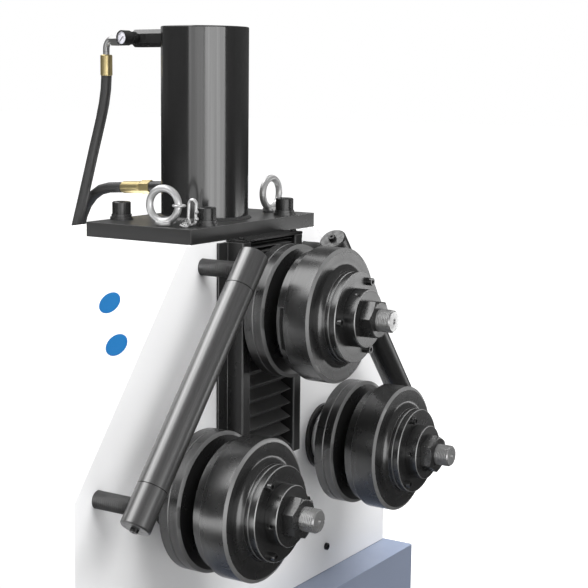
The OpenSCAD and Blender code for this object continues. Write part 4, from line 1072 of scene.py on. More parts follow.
MIDDLE: Point = (0.0, -0.15, 1.0)
CYLINDER: Point = (0.0, -0.13, 1.0)
LAMPS = (
    Lamp("left_box", (-1.6, 0.2, 3.4), MIDDLE, (2.2, 2.2), 76.0, LampRole.BOX),
    Lamp("front_box", (-0.3, -2.4, 3.4), MIDDLE, (2.4, 1.8), 102.0, LampRole.BOX),
    Lamp("roof_box", (-0.2, -0.2, 3.6), MIDDLE, (2.6, 2.6), 40.0, LampRole.BOX),
    Lamp("right_box", (1.05, -0.2, 2.9), (0.25, -0.2, 0.75), (1.2, 1.2), 85.0, LampRole.BOX),
    Lamp("tall_card", (-1.38, -2.73, 0.8), CYLINDER, (3.0, 2.2), 50.0, LampRole.CARD),
    Lamp("left_card", (-2.86, -0.84, 0.8), CYLINDER, (2.2, 2.2), 17.0, LampRole.CARD),
    Lamp("face_card", (1.9, -1.5, 0.8), (0.0, -0.33, 1.1), (1.8, 0.36), 5.0, LampRole.CARD),
    Lamp("side_card", (-1.8, 1.0, 0.5), (-0.1, -0.3, 0.92), (1.7, 0.66), 10.0, LampRole.CARD),
    Lamp("back_card", (2.2, 2.4, 1.9), (0.0, -0.1, 1.2), (3.0, 1.2), 3.0, LampRole.CARD),
    Lamp("roof_card", (-0.6, 1.2, 3.2), MIDDLE, (4.2, 1.6), 68.0, LampRole.CARD),
)


@dataclass
class Studio:
    """Camera, lamps, floor and background.

    Attributes:
        eye: Place of the camera.
        look: Direction that it looks in.
        up: Its upward direction.
        sensor_mm: Width of its sensor.
        focal_px: Its focal length in pixels of the photograph.
        photo_px: Width of the photograph in pixels.
        floor_half: Half the width of the floor.
        floor_tone: Tone in which the floor gives light back.
        floor_mirror: Tone of the floor in mirrors.
        floor_glow: Own light of the floor in the camera.
        sky_mirror: Strength of the background in mirrors.
        sky_fill: Strength of the background as light on the machine.
    """

    eye: Point = (-1.3351986, -1.0849912, 1.3538246)
    look: Point = (0.83862717, 0.52391573, -0.14905295)
    up: Point = (0.12084322, 0.08787174, 0.98877473)
    sensor_mm: float = 36.0
    focal_px: float = 1421.04
    photo_px: float = 588.0
    floor_half: float = 40.0
    floor_tone: float = 0.5
    floor_mirror: float = 0.04
    floor_glow: float = 0.92
    sky_mirror: float = 0.12
    sky_fill: float = 0.42

    def add_camera(self) -> None:
        """Makes the camera where the photograph was taken."""
        data = bpy.data.cameras.new("photo_camera")
        data.sensor_width = self.sensor_mm
        data.lens = self.sensor_mm * self.focal_px / self.photo_px
        data.clip_end = 200.0
        camera = bpy.data.objects.new("photo_camera", data)
        look = Vector(self.look)
        right = look.cross(Vector(self.up)).normalized()
        up = right.cross(look).normalized()
        turn = Matrix((right, up, -look.normalized())).transposed().to_4x4()
        camera.matrix_world = Matrix.Translation(self.eye) @ turn
        bpy.context.scene.collection.objects.link(camera)
        bpy.context.scene.camera = camera
        log.info("camera at %s", tuple(round(value, 3) for value in self.eye))

    @staticmethod
    def seen(wiring: Wiring, rays: Outlets) -> Socket:
        """Gives 1 where the camera looks, also through glass."""
        return wiring.math("MAXIMUM", rays["Is Camera Ray"], rays["Is Transmission Ray"])

    def add_floor(self) -> None:
        """Makes the pale floor, which is white in the camera and keeps the shadow."""
        mesh = bmesh.new()
        bmesh.ops.create_grid(mesh, x_segments=2, y_segments=2, size=self.floor_half)
        data = bpy.data.meshes.new("floor")
        mesh.to_mesh(data)
        mesh.free()
        floor = bpy.data.objects.new("floor", data)
        bpy.context.scene.collection.objects.link(floor)
        paint = bpy.data.materials.new("floor_white")
        paint.use_nodes = True
        paint.node_tree.nodes.clear()
        wiring = Wiring(paint.node_tree)
        rays = wiring.add("ShaderNodeLightPath").outputs
        tones = [(tone, tone, tone) for tone in (self.floor_tone, self.floor_mirror)]
        shader = wiring.add("ShaderNodeBsdfPrincipled", {
            "Roughness": 0.9,
            "Specular IOR Level": 0.0,
            "Base Color": wiring.mix(rays["Is Glossy Ray"], *tones),
            "Emission Color": (1.0, 1.0, 1.0),
            "Emission Strength": wiring.times(self.seen(wiring, rays), self.floor_glow),
        })
        wiring.add("ShaderNodeOutputMaterial", {"Surface": shader.outputs[0]})
        data.materials.append(paint)

    def add_world(self) -> None:
        """Makes the white background and the soft light round the object."""
        world = bpy.data.worlds.new("studio")
        bpy.context.scene.world = world
        world.use_nodes = True
        world.node_tree.nodes.clear()
        wiring = Wiring(world.node_tree)
        rays = wiring.add("ShaderNodeLightPath").outputs
        mirrored = wiring.times(rays["Is Glossy Ray"], self.sky_mirror)
        plain = wiring.math("MAXIMUM", self.seen(wiring, rays), mirrored)
        values = {0: rays["Is Diffuse Ray"], 2: plain, 3: self.sky_fill}
        strength = wiring.add("ShaderNodeMix", values).outputs[0]
        back = wiring.add("ShaderNodeBackground", {"Color": (1.0, 1.0, 1.0), "Strength": strength})
        wiring.add("ShaderNodeOutputWorld", {"Surface": back.outputs[0]})
        bpy.context.scene.view_settings.view_transform = "Standard"

    def build(self) -> None:
        """Makes all of the studio but the camera, which comes first."""
        for lamp in LAMPS:
            lamp.build()
        self.add_floor()
        self.add_world()
        log.info("%d lamps, floor and background", len(LAMPS))


@dataclass
class PressureHoses:
    """The two hoses of the press cylinder, with their ferrules and glands.

    Attributes:
        diameter: Outer diameter of a hose.
        upper_mm: Points along the upper hose, as places on the head: x, behind, height.
        lower_mm: Points along the lower hose.
    """

    diameter: float = 0.013
    upper_mm: tuple[Point, ...] = (
        (26.3, 238, 441.3), (26.4, 239.2, 425), (26.6, 242.4, 408), (26.2, 246.8, 390),
        (24.6, 251.6, 370), (21.4, 256.4, 346), (16.6, 260.8, 318), (10.6, 265, 288),
        (3.6, 269.2, 256), (-4.4, 273.4, 222), (-12.6, 277.6, 186), (-20.4, 281.6, 148),
        (-27, 285.4, 108), (-32.4, 288.6, 66), (-36.4, 291.4, 22), (-38.8, 293.6, -24),
        (-39.8, 294.8, -72), (-40, 295, -112), (-40, 295, -150),
    )
    lower_mm: tuple[Point, ...] = (
        (21.7, 209.1, 307.4), (25.6, 234, 305.6), (28.2, 250, 302), (30.6, 264.4, 294),
        (32.6, 276.4, 282.4), (34.2, 285.6, 267), (35.4, 291.8, 248), (36.4, 295.6, 226),
        (37.4, 297.4, 200), (38.2, 297.8, 168), (39, 297.6, 130), (39.6, 297, 88),
        (39.8, 296.4, 42), (40, 295.8, -8), (40, 295.2, -60), (40, 295, -108), (40, 295, -150),
    )

    def build_hose(self, name: str, points_mm: tuple[Point, ...], node: str) -> None:
        """Makes one hose as a smooth tube along its route.

        Args:
            name: Name of the piece.
            points_mm: Its route.
            node: The CAD node that it replaces.
        """
        route = [head_point(x, -behind, z) for x, behind, z in points_mm]
        curve = bpy.data.curves.new(name, "CURVE")
        curve.dimensions = "3D"
        curve.bevel_depth = self.diameter / 2
        curve.bevel_resolution = 7
        curve.use_fill_caps = True
        spline = curve.splines.new("POLY")
        spline.points.add(len(route) - 1)
        for point, place in zip(spline.points, route):
            point.co = (*place, 1.0)
        spline.use_smooth = True
        curve.materials.append(HOSE_RUBBER.material())
        hose = bpy.data.objects.new(name, curve)
        bpy.context.scene.collection.objects.link(hose)
        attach(hose, "root")
        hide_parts(node)

    def build(self) -> None:
        """Makes both hoses and dresses the ferrules and the glands."""
        self.build_hose("upper_hose_cover", self.upper_mm, "upper_hose")
        self.build_hose("lower_hose_cover", self.lower_mm, "lower_hose")
        skin_node("hose_ferrules", BRASS, 0.0004, 1)
        skin_node("hose_glands", BLACK_OXIDE, 0.0004, 1)


@dataclass
class PressCylinder:
    """The press cylinder with its ports, its gauge and its elbow.

    Attributes:
        wall_mm: Outer radius of the tube.
        bore_mm: Inner radius of the tube.
        height_mm: Height of the tube.
        roof_mm: Height of the bore.
        weld_waves: Number of ripples round the weld.
        weld_ripple: Share by which a ripple widens the weld.
        gauge_mm: Place of the gauge's branch on the block, as a place on the head.
        reach_mm: Distance of the dial from there.
        gauge_axis: Direction that the dial faces.
        dial_mm: Radius of the dial.
        glass_mm: Radius of the glass.
        scale_turn: Angle in degrees of the first mark of the scale.
        mark_turn: Angle from one mark to the next.
        marks: Number of marks.
        knurl_steps: Faces round the knurled nut.
        knurl_share: What is left of its radius in a groove.
    """

    wall_mm: float = 50.2
    bore_mm: float = 40.0
    height_mm: float = 216.6
    roof_mm: float = 194.6
    weld_waves: float = 92.0
    weld_ripple: float = 0.16
    gauge_mm: Point = (16.394, -175.51, 485.3)
    reach_mm: float = 30.6
    gauge_axis: Point = (-0.98769, 0.15643, 0.0)
    dial_mm: float = 7.2
    glass_mm: float = 7.24
    scale_turn: float = 225.0
    mark_turn: float = 27.0
    marks: int = 11
    knurl_steps: int = 44
    knurl_share: float = 0.94

    def gauge_place(self) -> Matrix:
        """Gives the place and the turn of a piece that faces -Y and goes on the gauge.

        Returns:
            The place with its turn.
        """
        axis = Vector(self.gauge_axis)
        centre = head_point(*self.gauge_mm) + axis * self.reach_mm * MM
        return Matrix.Translation(centre) @ facing(axis)

    def upright(self) -> Matrix:
        """Gives the place and the turn of a turned piece that stands on the plate."""
        return Matrix.Translation(cylinder_foot()) @ Matrix.Rotation(-math.pi / 2, 4, "X")

    def build_tube(self) -> None:
        """Makes the tube with its closed top, a rounded rim and narrow rings beside its edges."""
        wall, bore, roof, top = self.wall_mm, self.bore_mm, self.roof_mm, self.height_mm
        outline = [
            (0, roof), (bore - 1, roof), (bore, roof - 1), (bore, 1), (bore, 0), (wall, 0), (wall, 1.5),
            (wall, top - 3.1), (wall, top - 1.2), (wall - 0.15, top - 0.7), (wall - 0.5, top - 0.2),
            (wall - 1, top), (wall - 4.2, top), (0, top),
        ]
        tube = placed(turned_mesh(outline, 160), self.upright())
        replace_node("cylinder_tube", "cylinder_tube_skin", tube, [GLOSS_BLACK])

    def build_weld(self) -> None:
        """Makes the weld that runs round the cylinder's foot."""
        inner = self.wall_mm - 0.2
        outline = [
            (inner, 0), (inner, 3.4), (inner + 1, 2.9), (inner + 2.3, 1.8), (inner + 3.6, 0.5),
            (inner + 3.8, 0),
        ]
        weld = placed(turned_mesh(outline, 240), Matrix.Rotation(-math.pi / 2, 4, "X"))
        wall = self.wall_mm * MM
        for vert in weld.verts:
            angle = math.atan2(vert.co.y, vert.co.x)
            radius = math.hypot(vert.co.x, vert.co.y)
            if radius > wall + 0.2 * MM:
                lifted = vert.co.z > 0.4 * MM
                ripple = 1 + self.weld_ripple * math.sin(angle * self.weld_waves) * lifted
                radius = wall + (radius - wall) * ripple
            vert.co.x, vert.co.y = radius * math.cos(angle), radius * math.sin(angle)
        bmesh.ops.translate(weld, verts=weld.verts, vec=cylinder_foot())
        make_piece("cylinder_weld", weld, [SATIN_BLACK], "root")
        log.info("weld at the cylinder's foot")

    def build_gauge_nut(self) -> None:
        """Makes the knurled nut between the gauge and its block."""
        outline = [(4.4, -19.8), (7.0, -19.8), (7.6, -19.2), (7.6, -12.0), (7.0, -11.4), (4.4, -11.4)]
        nut = turned_mesh(outline, self.knurl_steps)
        for vert in nut.verts:
            radius = math.hypot(vert.co.x, vert.co.z)
            step = round(math.atan2(vert.co.z, vert.co.x) / (math.tau / self.knurl_steps))
            if radius > 7.5 * MM and step % 2:
                vert.co.x *= self.knurl_share
                vert.co.z *= self.knurl_share
        placed(nut, self.gauge_place())
        make_piece("gauge_nut", nut, [BLACK_OXIDE], "root", sharp=25.0)
        log.info("knurled nut of the gauge")

    def build_dial(self) -> None:
        """Makes the white dial with its scale and the glass over it."""
        place = self.gauge_place()
        disc = [(0, -0.1), (self.dial_mm, -0.1), (self.dial_mm, 0.15), (0, 0.15)]
        dial = placed(turned_mesh(disc, 48), place)
        make_piece("gauge_dial", dial, [DIAL_WHITE], "root")
        scale = bmesh.new()
        shift = Matrix.Translation(Vector((self.dial_mm - 1.3, -0.18, 0)) * MM)
        for mark in range(self.marks):
            spin = Matrix.Rotation(math.radians(self.mark_turn * mark - self.scale_turn), 4, "Y")
            length = 1.5 if mark % 5 == 0 else 1.0
            shape = Matrix.Diagonal((length * MM, 0.1 * MM, 0.3 * MM, 1.0))
            bmesh.ops.create_cube(scale, size=1.0, matrix=place @ spin @ shift @ shape)
        make_piece("gauge_scale", scale, [GAUGE_BLACK], "root")
        lens = [(0, 1.5), (self.glass_mm, 1.5), (self.glass_mm, 1.9), (5.4, 2.2), (2.8, 2.36), (0, 2.4)]
        glass = placed(turned_mesh(lens, 48), place)
        make_piece("gauge_glass", glass, [GAUGE_GLASS], "root")
        log.info("gauge dial, scale and glass")

    def build(self) -> None:
        """Makes the fine pieces of the cylinder and dresses its nodes."""
        self.build_tube()
        self.build_weld()
        self.build_gauge_nut()
        skin_node("port_blocks", SATIN_BLACK, 0.0005, 1, WORN_EDGE)
        skin_node("gauge_case", GAUGE_BLACK, 0.0004, 2)
        skin_node("elbow_fitting", ELBOW_ZINC, 0.0004, 2)
        skin_node("piston_rod", CHROME_ROD)
        dress_node("gauge_needle", NEEDLE_GREY)
        self.build_dial()


@dataclass(frozen=True)
class WireLink:
    """One closed wire link of the snap hook.

    Attributes:
        length_mm: Its outer length.
        width_mm: Its outer width.
        wire_mm: Diameter of its wire.
        place_mm: Its middle, from the foot of the left lifting eye.
        turn: How it is turned.
    """

    length_mm: float
    width_mm: float
    wire_mm: float
    place_mm: Point
    turn: Matrix


UPRIGHT = Matrix.Rotation(math.pi / 2, 4, "X")
# The ring in the eye, the hook, its swivel, both chain links and the link below the swivel
WIRE_LINKS = (
    WireLink(15.4, 15.4, 2.6, (18.9, 0.0, 22.5), Matrix()),
    WireLink(31.0, 12.4, 3.6, (33.4, 3.0, 15.6), Matrix.Rotation(0.06, 4, "Y") @ UPRIGHT),
    WireLink(10.4, 10.4, 2.3, (31.4, -3.0, 5.4), Matrix.Rotation(-0.5, 4, "Z") @ UPRIGHT),
    WireLink(14.0, 8.0, 2.6, (18.0, 18.0, 1.4), Matrix.Rotation(math.radians(50), 4, "Z")),
    WireLink(14.0, 8.0, 2.6, (-1.7, 20.4, 1.4), Matrix.Rotation(math.radians(20), 4, "Z")),
    WireLink(
        12.0, 7.6, 2.3, (27.4, -4.6, 1.6), Matrix.Rotation(1.1, 4, "Z") @ Matrix.Rotation(0.16, 4, "X")),
)


@dataclass
class CylinderPlate:
    """The plate under the cylinder, its screws and the lifting eyes.

    Attributes:
        screws_mm: Distances between the screws, across and front to back.
        head_mm: Radius of a screw's head.
        knurl_share: Share of that radius by which a knurl is sunk.
        washer_mm: Heights of the washers' lower and upper faces above the plate.
        eye_mm: Places of the lifting eyes to either side and behind the head's front.
        eye_turn: Angle in degrees by which the left eye is turned.
        knobs_mm: Places of the hook's gate knobs, from the foot of the left eye.
    """

    screws_mm: tuple[float, float] = (158.0, 118.0)
    head_mm: float = 10.5
    knurl_share: float = 0.045
    washer_mm: tuple[float, float] = (-0.1, 6.15)
    eye_mm: tuple[float, float] = (106.5, 50.0)
    eye_turn: float = 83.0
    knobs_mm: tuple[Point, ...] = ((39.6, 1.4, 9.0), (39.6, 1.4, 16.5))

    def from_screw(self, point: Vector) -> Vector:
        """Gives the level offset of a point from the axis of the nearest screw.

        Args:
            point: The point.

        Returns:
            The offset, in metres.
        """
        local = point - cylinder_foot()
        offset = [
            place - math.copysign(apart / 2 * MM, place) for place, apart in zip(local, self.screws_mm)]
        return Vector((*offset, 0.0))

    def build_screws(self) -> None:
        """Makes the screws with knurled heads on dark washers."""
        mesh = merged_copy("plate_bolts")
        foot = cylinder_foot().z
        low, high = (foot + height * MM for height in self.washer_mm)

        def on_rim(vert: Vert) -> bool:
            """Tells whether a corner lies on the side of a screw's head."""
            radius = self.from_screw(vert.co).length
            return abs(radius - self.head_mm * MM) < 1e-4 and vert.co.z > high - 1e-4

        rims = [edge for edge in mesh.edges if all(on_rim(vert) for vert in edge.verts)
                and abs(edge.verts[0].co.z - edge.verts[1].co.z) < 1e-5]
        cut = bmesh.ops.subdivide_edges(mesh, edges=rims, cuts=1)["geom_inner"]
        for vert in only(Vert, cut):
            vert.co -= self.from_screw(vert.co) * self.knurl_share
        for face in mesh.faces:
            if low < face.calc_center_median().z < high:
                face.material_index = 1
        replace_node(
            "plate_bolts", "plate_bolts_knurled", mesh, [BOLT_BLACK, WASHER_DARK], 15.0, recalc=False)

    def build_hook(self) -> None:
        """Makes the snap hook with its ring, its swivel, its gate knobs and the two chain links."""
        foot = Matrix.Translation(head_point(-self.eye_mm[0], -self.eye_mm[1], PLATE_TOP_MM))
        foot = foot @ Matrix.Rotation(math.radians(-self.eye_turn), 4, "Z")
        parts = []
        for link in WIRE_LINKS:
            spot = foot @ Matrix.Translation(Vector(link.place_mm) * MM) @ link.turn
            parts.append(placed(link_mesh(link.length_mm, link.width_mm, link.wire_mm), spot))
        knob = [(0, -2.4), (1.3, -2.2), (2.1, -1.2), (2.3, 0), (2.1, 1.2), (1.3, 2.2), (0, 2.4)]
        for place_mm in self.knobs_mm:
            spot = foot @ Matrix.Translation(Vector(place_mm) * MM)
            parts.append(placed(turned_mesh(knob, 20), spot))
        replace_node("snap_hook", "snap_hook_fine", joined(parts), [ZINC], 50.0)

    def build(self) -> None:
        """Dresses the plate, the screws, the eyes and the snap hook."""
        skin_node("top_plate", SATIN_BLACK, 0.0009, 2, WORN_EDGE)
        self.build_screws()
        skin_node("lifting_eyes", ZINC, sharp=50.0)
        self.build_hook()


@dataclass
class HeadBody:
    """The white head with its frame, guides and bearing covers.

    Attributes:
        discs_mm: Places of the plain discs on the left slanted side: x, behind, height.
        disc_mm: Radius of such a disc.
        disc_high_mm: Thickness of such a disc.
        slant: Outward direction of the left slanted side.
        foot_screws_mm: Places of the screws at the cover's foot: x, height.
        long_edge: Length from which an edge of the cover is folded, and so rounded.
    """

    discs_mm: tuple[Point, ...] = ((-181.4, 65.1, 204.0), (-210.5, 32.6, 166.7))
    disc_mm: float = 13.0
    disc_high_mm: float = 0.35
    slant: Point = (-0.78834, 0.0, 0.61524)
    foot_screws_mm: tuple[tuple[float, float], ...] = ((-164.0, -147.5), (164.0, -147.5))
    long_edge: float = 0.09

    def build_discs(self) -> None:
        """Makes the plain blue discs."""
        rim, high = self.disc_mm, self.disc_high_mm
        outline = [(0, 0), (rim, 0), (rim, high - 0.15), (rim - 0.2, high), (0, high)]
        turn = facing(Vector(self.slant))
        discs = joined(
            placed(turned_mesh(outline, 48), Matrix.Translation(head_point(x, -behind, z)) @ turn)
            for x, behind, z in self.discs_mm)
        make_piece("plain_discs", discs, [DISC_BLUE], "root")
        log.info("plain discs")

    def build_screws(self) -> None:
        """Makes the screws at the cover's foot."""
        screws = joined(
            placed(screw_mesh(9.0, 3.4, 4.6), Matrix.Translation(head_point(x, 0.0, z)))
            for x, z in self.foot_screws_mm)
        make_piece("cover_screws", screws, [BLACK_OXIDE], "root")
        log.info("cover screws")

    def build(self) -> None:
        """Makes the fine pieces of the head and dresses its nodes."""
        skin_node(
            "head_cover", WHITE_PAINT, 0.0016, 3, choose=lambda edge: edge.calc_length() > self.long_edge)
        skin_node("rear_cover", WHITE_PAINT, 0.0009, 2)
        skin_node("slide_guides", SATIN_BLACK, 0.0005, 1, WORN_EDGE)
        skin_node("guide_strip", BLACK_OXIDE, 0.0004, 1)
        skin_node("bearing_covers", SATIN_BLACK)
        dress_node("head_frame", FRAME_PRIMER)
        dress_node("roll_bearings", BRIGHT_STEEL)
        self.build_discs()
        self.build_screws()


@dataclass(frozen=True)
class TurnedPart:
    """One turned piece of a roll set, and its steel.

    Attributes:
        node: End of its node's name.
        steel: Name of its steel.
        tones: Display levels of the steel, of what it drifts to and of its bright edges, which are bare wear
            and a painted highlight.
        roughness: Roughness of the steel.
        edge_mm: Radii between which a slanted face is a bright edge: bare wear with a painted highlight.
        skip_mm: Radii between which it is none, as it is curved. The first value lies outside.
    """

    node: str
    steel: str
    tones: tuple[int, int, int]
    roughness: float
    edge_mm: tuple[float, float]
    skip_mm: tuple[float, float] = (900.0, 901.0)


TURNED_PARTS = (
    TurnedPart("back_discs", "disc", (98, 84, 126), 0.3, (60.0, 80.0)),
    # The spacer's darker tones are painted shade, as it sits deep in the groove between the discs.
    TurnedPart("spacer", "spacer", (54, 46, 80), 0.45, (60.0, 80.0)),
    TurnedPart("front_disc", "front_disc", (102, 88, 142), 0.28, (30.0, 80.0), (50.4, 60.0)),
    TurnedPart("cover_ring", "ring", (106, 92, 150), 0.28, (46.0, 52.0)),
    TurnedPart("collar", "collar", (106, 92, 150), 0.3, (30.0, 34.0)),
)


@dataclass
class RollSet:
    """One shaft with its discs, ring, collar and nut.

    Attributes:
        side: Which set it is: top, left or right.
        x_mm: Place of its axis to the right of the middle.
        z_mm: Height of its axis above the lower ones.
        rear_mm: Where the shaft ends behind the head's front.
        flange_mm: Where its flange starts in front of the head.
        flange_end_mm: Where the flange ends.
        journal_mm: Radius of the shaft.
        flange_radius_mm: Radius of its flange.
        shoulder_mm: Where the thread's core starts.
        core_mm: Radius of that core.
        end_mm: Where the shaft ends in front.
        thread_mm: Outer diameter and pitch of the thread.
        hole_mm: Radii of the centre hole, at its mouth and in its depth.
    """

    side: str
    x_mm: float
    z_mm: float
    rear_mm: float
    flange_mm: float
    flange_end_mm: float = 33.0
    journal_mm: float = 25.0
    flange_radius_mm: float = 36.0
    shoulder_mm: float = 140.9
    core_mm: float = 10.9
    end_mm: float = 178.4
    thread_mm: tuple[float, float] = (25.0, 2.0)
    hole_mm: tuple[float, float] = (3.2, 1.6)

    def axis(self) -> Vector:
        """Gives a point on the shaft's axis."""
        return head_point(self.x_mm, 0.0, self.z_mm)

    def steel(self, part: TurnedPart) -> TurnedSteel:
        """Makes the finish of one turned piece of this set.

        Args:
            part: The piece.

        Returns:
            Its finish.
        """
        colour, second, edge = (grey(tone) for tone in part.tones)
        inner, outer, skip_low, skip_high = (radius * MM for radius in (*part.edge_mm, *part.skip_mm))
        return TurnedSteel(
            f"{self.side}_{part.steel}_steel", colour, second, part.roughness, 0.03, 0.92,
            tuple(self.axis()), edge=edge, inner=inner, outer=outer, skip=(skip_low, skip_high))

    def build_shaft(self) -> None:
        """Makes the shaft with a real thread at its end."""
        journal, flange, core, end = self.journal_mm, self.flange_radius_mm, self.core_mm, self.end_mm
        mouth, hole = self.hole_mm
        body = turned_mesh([
            (0, -self.rear_mm), (journal - 1, -self.rear_mm), (journal, 1 - self.rear_mm),
            (journal, self.flange_mm), (flange, self.flange_mm), (flange, self.flange_end_mm),
            (journal, self.flange_end_mm), (journal, self.shoulder_mm), (core, self.shoulder_mm),
            (core, end - 2), (mouth, end), (hole, end - 3.2), (hole, end - 7), (0, end - 7),
        ])
        thread = thread_mesh(*self.thread_mm, self.shoulder_mm + 0.5, end - 1.5)
        rim = turned_mesh([(mouth, end - 1.7), (core + 1, end - 1.7), (core, end), (mouth, end)], 64)
        shaft = placed(joined([body, thread, rim]), Matrix.Translation(self.axis()))
        replace_node(f"{self.side}_shaft", f"{self.side}_shaft_threaded", shaft, [BRIGHT_STEEL], 40.0)

    def build(self) -> None:
        """Makes the shaft and dresses the discs, the ring, the collar and the nut."""
        self.build_shaft()
        for part in TURNED_PARTS:
            skin_node(f"{self.side}_{part.node}", self.steel(part))
        skin_node(f"{self.side}_nut", NUT_STEEL, 0.0004, 2, sharp=25.0)


@dataclass
class GuideBar:
    """One guide bar with its end blocks and its threaded rods.

    Attributes:
        side: left or right.
        sign: -1 on the left and 1 on the right.
        out_mm: Distance of the bar's axis from the head's front.
        tone: Display level of its steel, lower on the right bar as painted shade.
        rods_mm: Places of its upper and lower rod: distance from the middle, height.
        thread_mm: Outer diameter and pitch of a rod.
        depth_mm: How deep a rod reaches into the head.
        screw_seat_mm: Distance of an end screw's seat from the bar's middle.
    """

    side: str
    sign: int
    out_mm: float
    tone: int = 140
    rods_mm: tuple[tuple[float, float], ...] = ((103.5, 239.0), (281.4, 25.3))
    thread_mm: tuple[float, float] = (18.5, 2.5)
    depth_mm: float = 88.0
    screw_seat_mm: float = 158.9

    def build_rods(self) -> None:
        """Makes both threaded rods."""
        rods = joined(
            placed(thread_mesh(*self.thread_mm, -self.depth_mm, self.out_mm - 0.5),
                   Matrix.Translation(head_point(self.sign * x, 0.0, z)))
            for x, z in self.rods_mm)
        replace_node(f"{self.side}_guide_rods", f"{self.side}_rods_threaded", rods, [THREAD_STEEL], 40.0)

    def build_end_screws(self, middle: Vector, along: Vector) -> None:
        """Makes the socket screw in each end of the bar.

        Args:
            middle: Middle of the bar.
            along: Direction from the middle to the upper end.
        """
        screws = joined(
            placed(screw_mesh(8.6, 5.4, 4.0),
                   Matrix.Translation(middle + outward * self.screw_seat_mm * MM) @ facing(outward))
            for outward in (along, -along))
        make_piece(f"{self.side}_bar_screws", screws, [BOLT_BLACK], f"{self.side}_guide")
        log.info("%s bar's end screws", self.side)

    def build(self) -> None:
        """Makes the rods and the end screws and dresses the bar."""
        self.build_rods()
        top, foot = self.rods_mm
        middle = head_point(self.sign * (top[0] + foot[0]) / 2, self.out_mm, (top[1] + foot[1]) / 2)
        along = Vector((self.sign * (top[0] - foot[0]), 0.0, top[1] - foot[1])).normalized()
        steel = DrawnSteel(
            f"{self.side}_bar_steel", grey(self.tone), grey(self.tone * 4 // 5), 0.33, 0.07, 0.92,
            tuple(middle), tuple(along), lines=700.0)
        skin_node(f"{self.side}_guide_sleeve", steel, 0.0006, 2, BLACK_OXIDE)
        skin_node(f"{self.side}_guide_blocks", steel)
        self.build_end_screws(middle, along)


@dataclass(frozen=True)
class Bellows:
    """One bellows, a strip of cloth in pleats.

    Attributes:
        foot_mm: Height of its foot.
        top_mm: Height of its top.
        folds: Number of pleats.
        width_mm: Its width.
        front_mm: How far its outer folds stand out of the head.
        back_mm: How far its inner folds stand out of the head.
        tip_mm: Largest rounding of a fold.
        cloth_mm: Thickness of the cloth.
        columns: Number of faces across it.
    """

    foot_mm: float
    top_mm: float
    folds: int
    width_mm: float = 87.6
    front_mm: float = 20.8
    back_mm: float = 5.6
    tip_mm: float = 1.4
    cloth_mm: float = 0.5
    columns: int = 6

    def anchor(self, z_mm: float) -> Point:
        """Gives a point in the middle of the cloth at a height."""
        return tuple(head_point(0, 10, z_mm))

    def mesh(self) -> Mesh:
        """Folds a strip of cloth into pleats with rounded tips and gives it its thickness.

        Returns:
            The closed mesh.
        """
        mesh = bmesh.new()
        leaf = (self.top_mm - self.foot_mm) / self.folds / 2
        folds = [
            (self.front_mm if number % 2 else self.back_mm, self.foot_mm + number * leaf)
            for number in range(self.folds * 2 + 1)]
        line = [mesh.verts.new(head_point(-self.width_mm / 2, out, height)) for out, height in folds]
        edges = [mesh.edges.new(pair) for pair in zip(line, line[1:])]
        for _ in range(self.columns):
            swept = bmesh.ops.extrude_edge_only(mesh, edges=edges)["geom"]
            edges = [
                edge for edge in only(Edge, swept) if abs((edge.verts[0].co - edge.verts[1].co).x) < 1e-6]
            step = (self.width_mm * MM / self.columns, 0, 0)
            bmesh.ops.translate(mesh, verts=only(Vert, swept), vec=step)
        tips = [edge for edge in mesh.edges if len(edge.link_faces) == 2 and edge.calc_face_angle(0.0) > 0.5]
        bmesh.ops.bevel(
            mesh, geom=tips, offset=min(self.tip_mm, leaf * 0.45) * MM, segments=3, profile=0.5,
            affect="EDGES", material=-1)
        bmesh.ops.recalc_face_normals(mesh, faces=mesh.faces)
        bmesh.ops.solidify(mesh, geom=mesh.faces[:], thickness=self.cloth_mm * MM)
        return mesh

    def build(self, node: str, rides: bool) -> bpy.types.Object:
        """Makes the cloth in place of its CAD node.

        Args:
            node: The node.
            rides: Whether it rides on the node's body.

        Returns:
            The cloth.
        """
        return replace_node(node, f"{node}_cloth", self.mesh(), [BELLOWS_CLOTH], 60.0, rides, weighted=False)


@dataclass
class SlideUnit:
    """The carriage that carries the top roll, with the bellows above and below it.

    Attributes:
        lower: The lower bellows.
        upper: The upper bellows.
    """

    lower: Bellows = Bellows(6.8, 140.2, 8)
    upper: Bellows = Bellows(225.2, 262.0, 7)

    def build(self) -> None:
        """Makes both bellows and dresses the carriage."""
        low = self.lower.build("lower_bellows", rides=True)
        foot = self.lower.anchor(self.lower.foot_mm)
        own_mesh(low)
        high = self.upper.build("upper_bellows", rides=False)
        top, foot = (self.upper.anchor(z_mm) for z_mm in (self.upper.top_mm, self.upper.foot_mm))
        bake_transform(high)
        skin_node("carriage", SATIN_BLACK, 0.0007, 2, WORN_EDGE)
        dress_node("carriage_bearings", BRIGHT_STEEL)


@dataclass
class DriveTrain:
    """The gears, the gearmotor and the hydraulic unit inside the machine.

    Attributes:
        gears: Nodes of the gears.
    """

    gears: tuple[str, ...] = ("left_gear", "right_gear", "drive_pinion")

    def build(self) -> None:
        """Dresses what stands inside the head and the cabinet."""
        for node in self.gears:
            dress_node(node, BRIGHT_STEEL)
        dress_node("gearmotor", MOTOR_PAINT)
        dress_node("hydraulic_unit", FRAME_PRIMER)


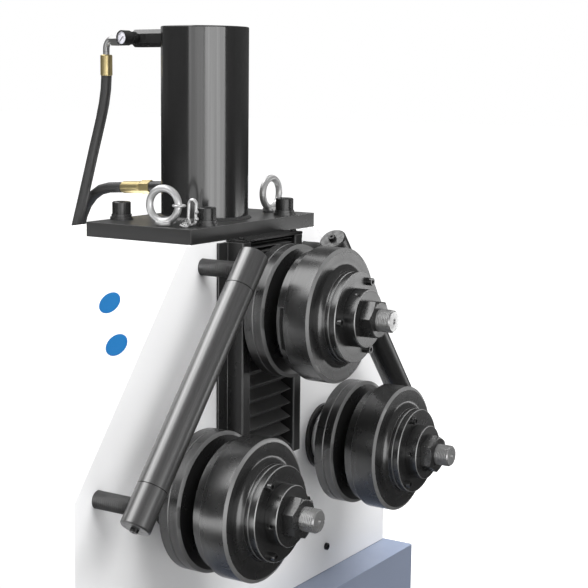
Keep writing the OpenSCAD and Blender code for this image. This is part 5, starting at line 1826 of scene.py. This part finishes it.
@dataclass
class Cabinet:
    """The cabinet with its feet and its service panel.

    Attributes:
        panel_mm: Width and height of the service panel.
        panel_foot_mm: Height of its lower edge.
        back_mm: Place of the cabinet's back.
        edge_mm: Distance of the panel's screws from its edges.
    """

    panel_mm: tuple[float, float] = (520.0, 560.0)
    panel_foot_mm: float = 90.0
    back_mm: float = 245.5
    edge_mm: float = 10.0

    def build_panel_screws(self) -> None:
        """Makes the eight screws round the edge of the service panel."""
        width, height = self.panel_mm
        columns = (self.edge_mm - width / 2, 0.0, width / 2 - self.edge_mm)
        rows = (self.edge_mm, height / 2, height - self.edge_mm)
        turn = Matrix.Rotation(math.pi, 4, "Z")
        screws = joined(
            placed(screw_mesh(10.0, 3.0, 5.0),
                   Matrix.Translation(Vector((x, self.back_mm, self.panel_foot_mm + z)) * MM) @ turn)
            for x in columns for z in rows if (x, z) != (columns[1], rows[1]))
        make_piece("panel_screws", screws, [BLACK_OXIDE], "root")
        log.info("service panel screws")

    def build(self) -> None:
        """Makes the small screws and dresses the cabinet."""
        skin_node("cabinet", CABINET_PAINT, 0.0012, 3)
        skin_node("anchor_feet", CABINET_PAINT, 0.0012, 2, WORN_EDGE)
        skin_node("service_panel", CABINET_PAINT, 0.0005, 1)
        self.build_panel_screws()


def main() -> None:
    """Builds the scene: camera and hoses first, then the studio and every sub-assembly."""
    logging.basicConfig(level=logging.INFO, format="%(message)s")
    studio = Studio()
    studio.add_camera()
    parts = [
        PressureHoses(), studio, PressCylinder(), CylinderPlate(), HeadBody(), SlideUnit(),
        RollSet("top", 0.0, 182.7, 152.0, 22.5), RollSet("left", -151.7, 0.0, 202.0, 6.0),
        RollSet("right", 151.7, 0.0, 202.0, 6.0),
        # The right bar's lower tone is painted shade, for the darker look that the light gives it.
        GuideBar("left", -1, 57.0), GuideBar("right", 1, 47.0, tone=100), DriveTrain(), Cabinet(),
    ]
    for part in parts:
        part.build()
        log.info("%s is built", type(part).__name__)


if __name__ == "__main__":
    main()
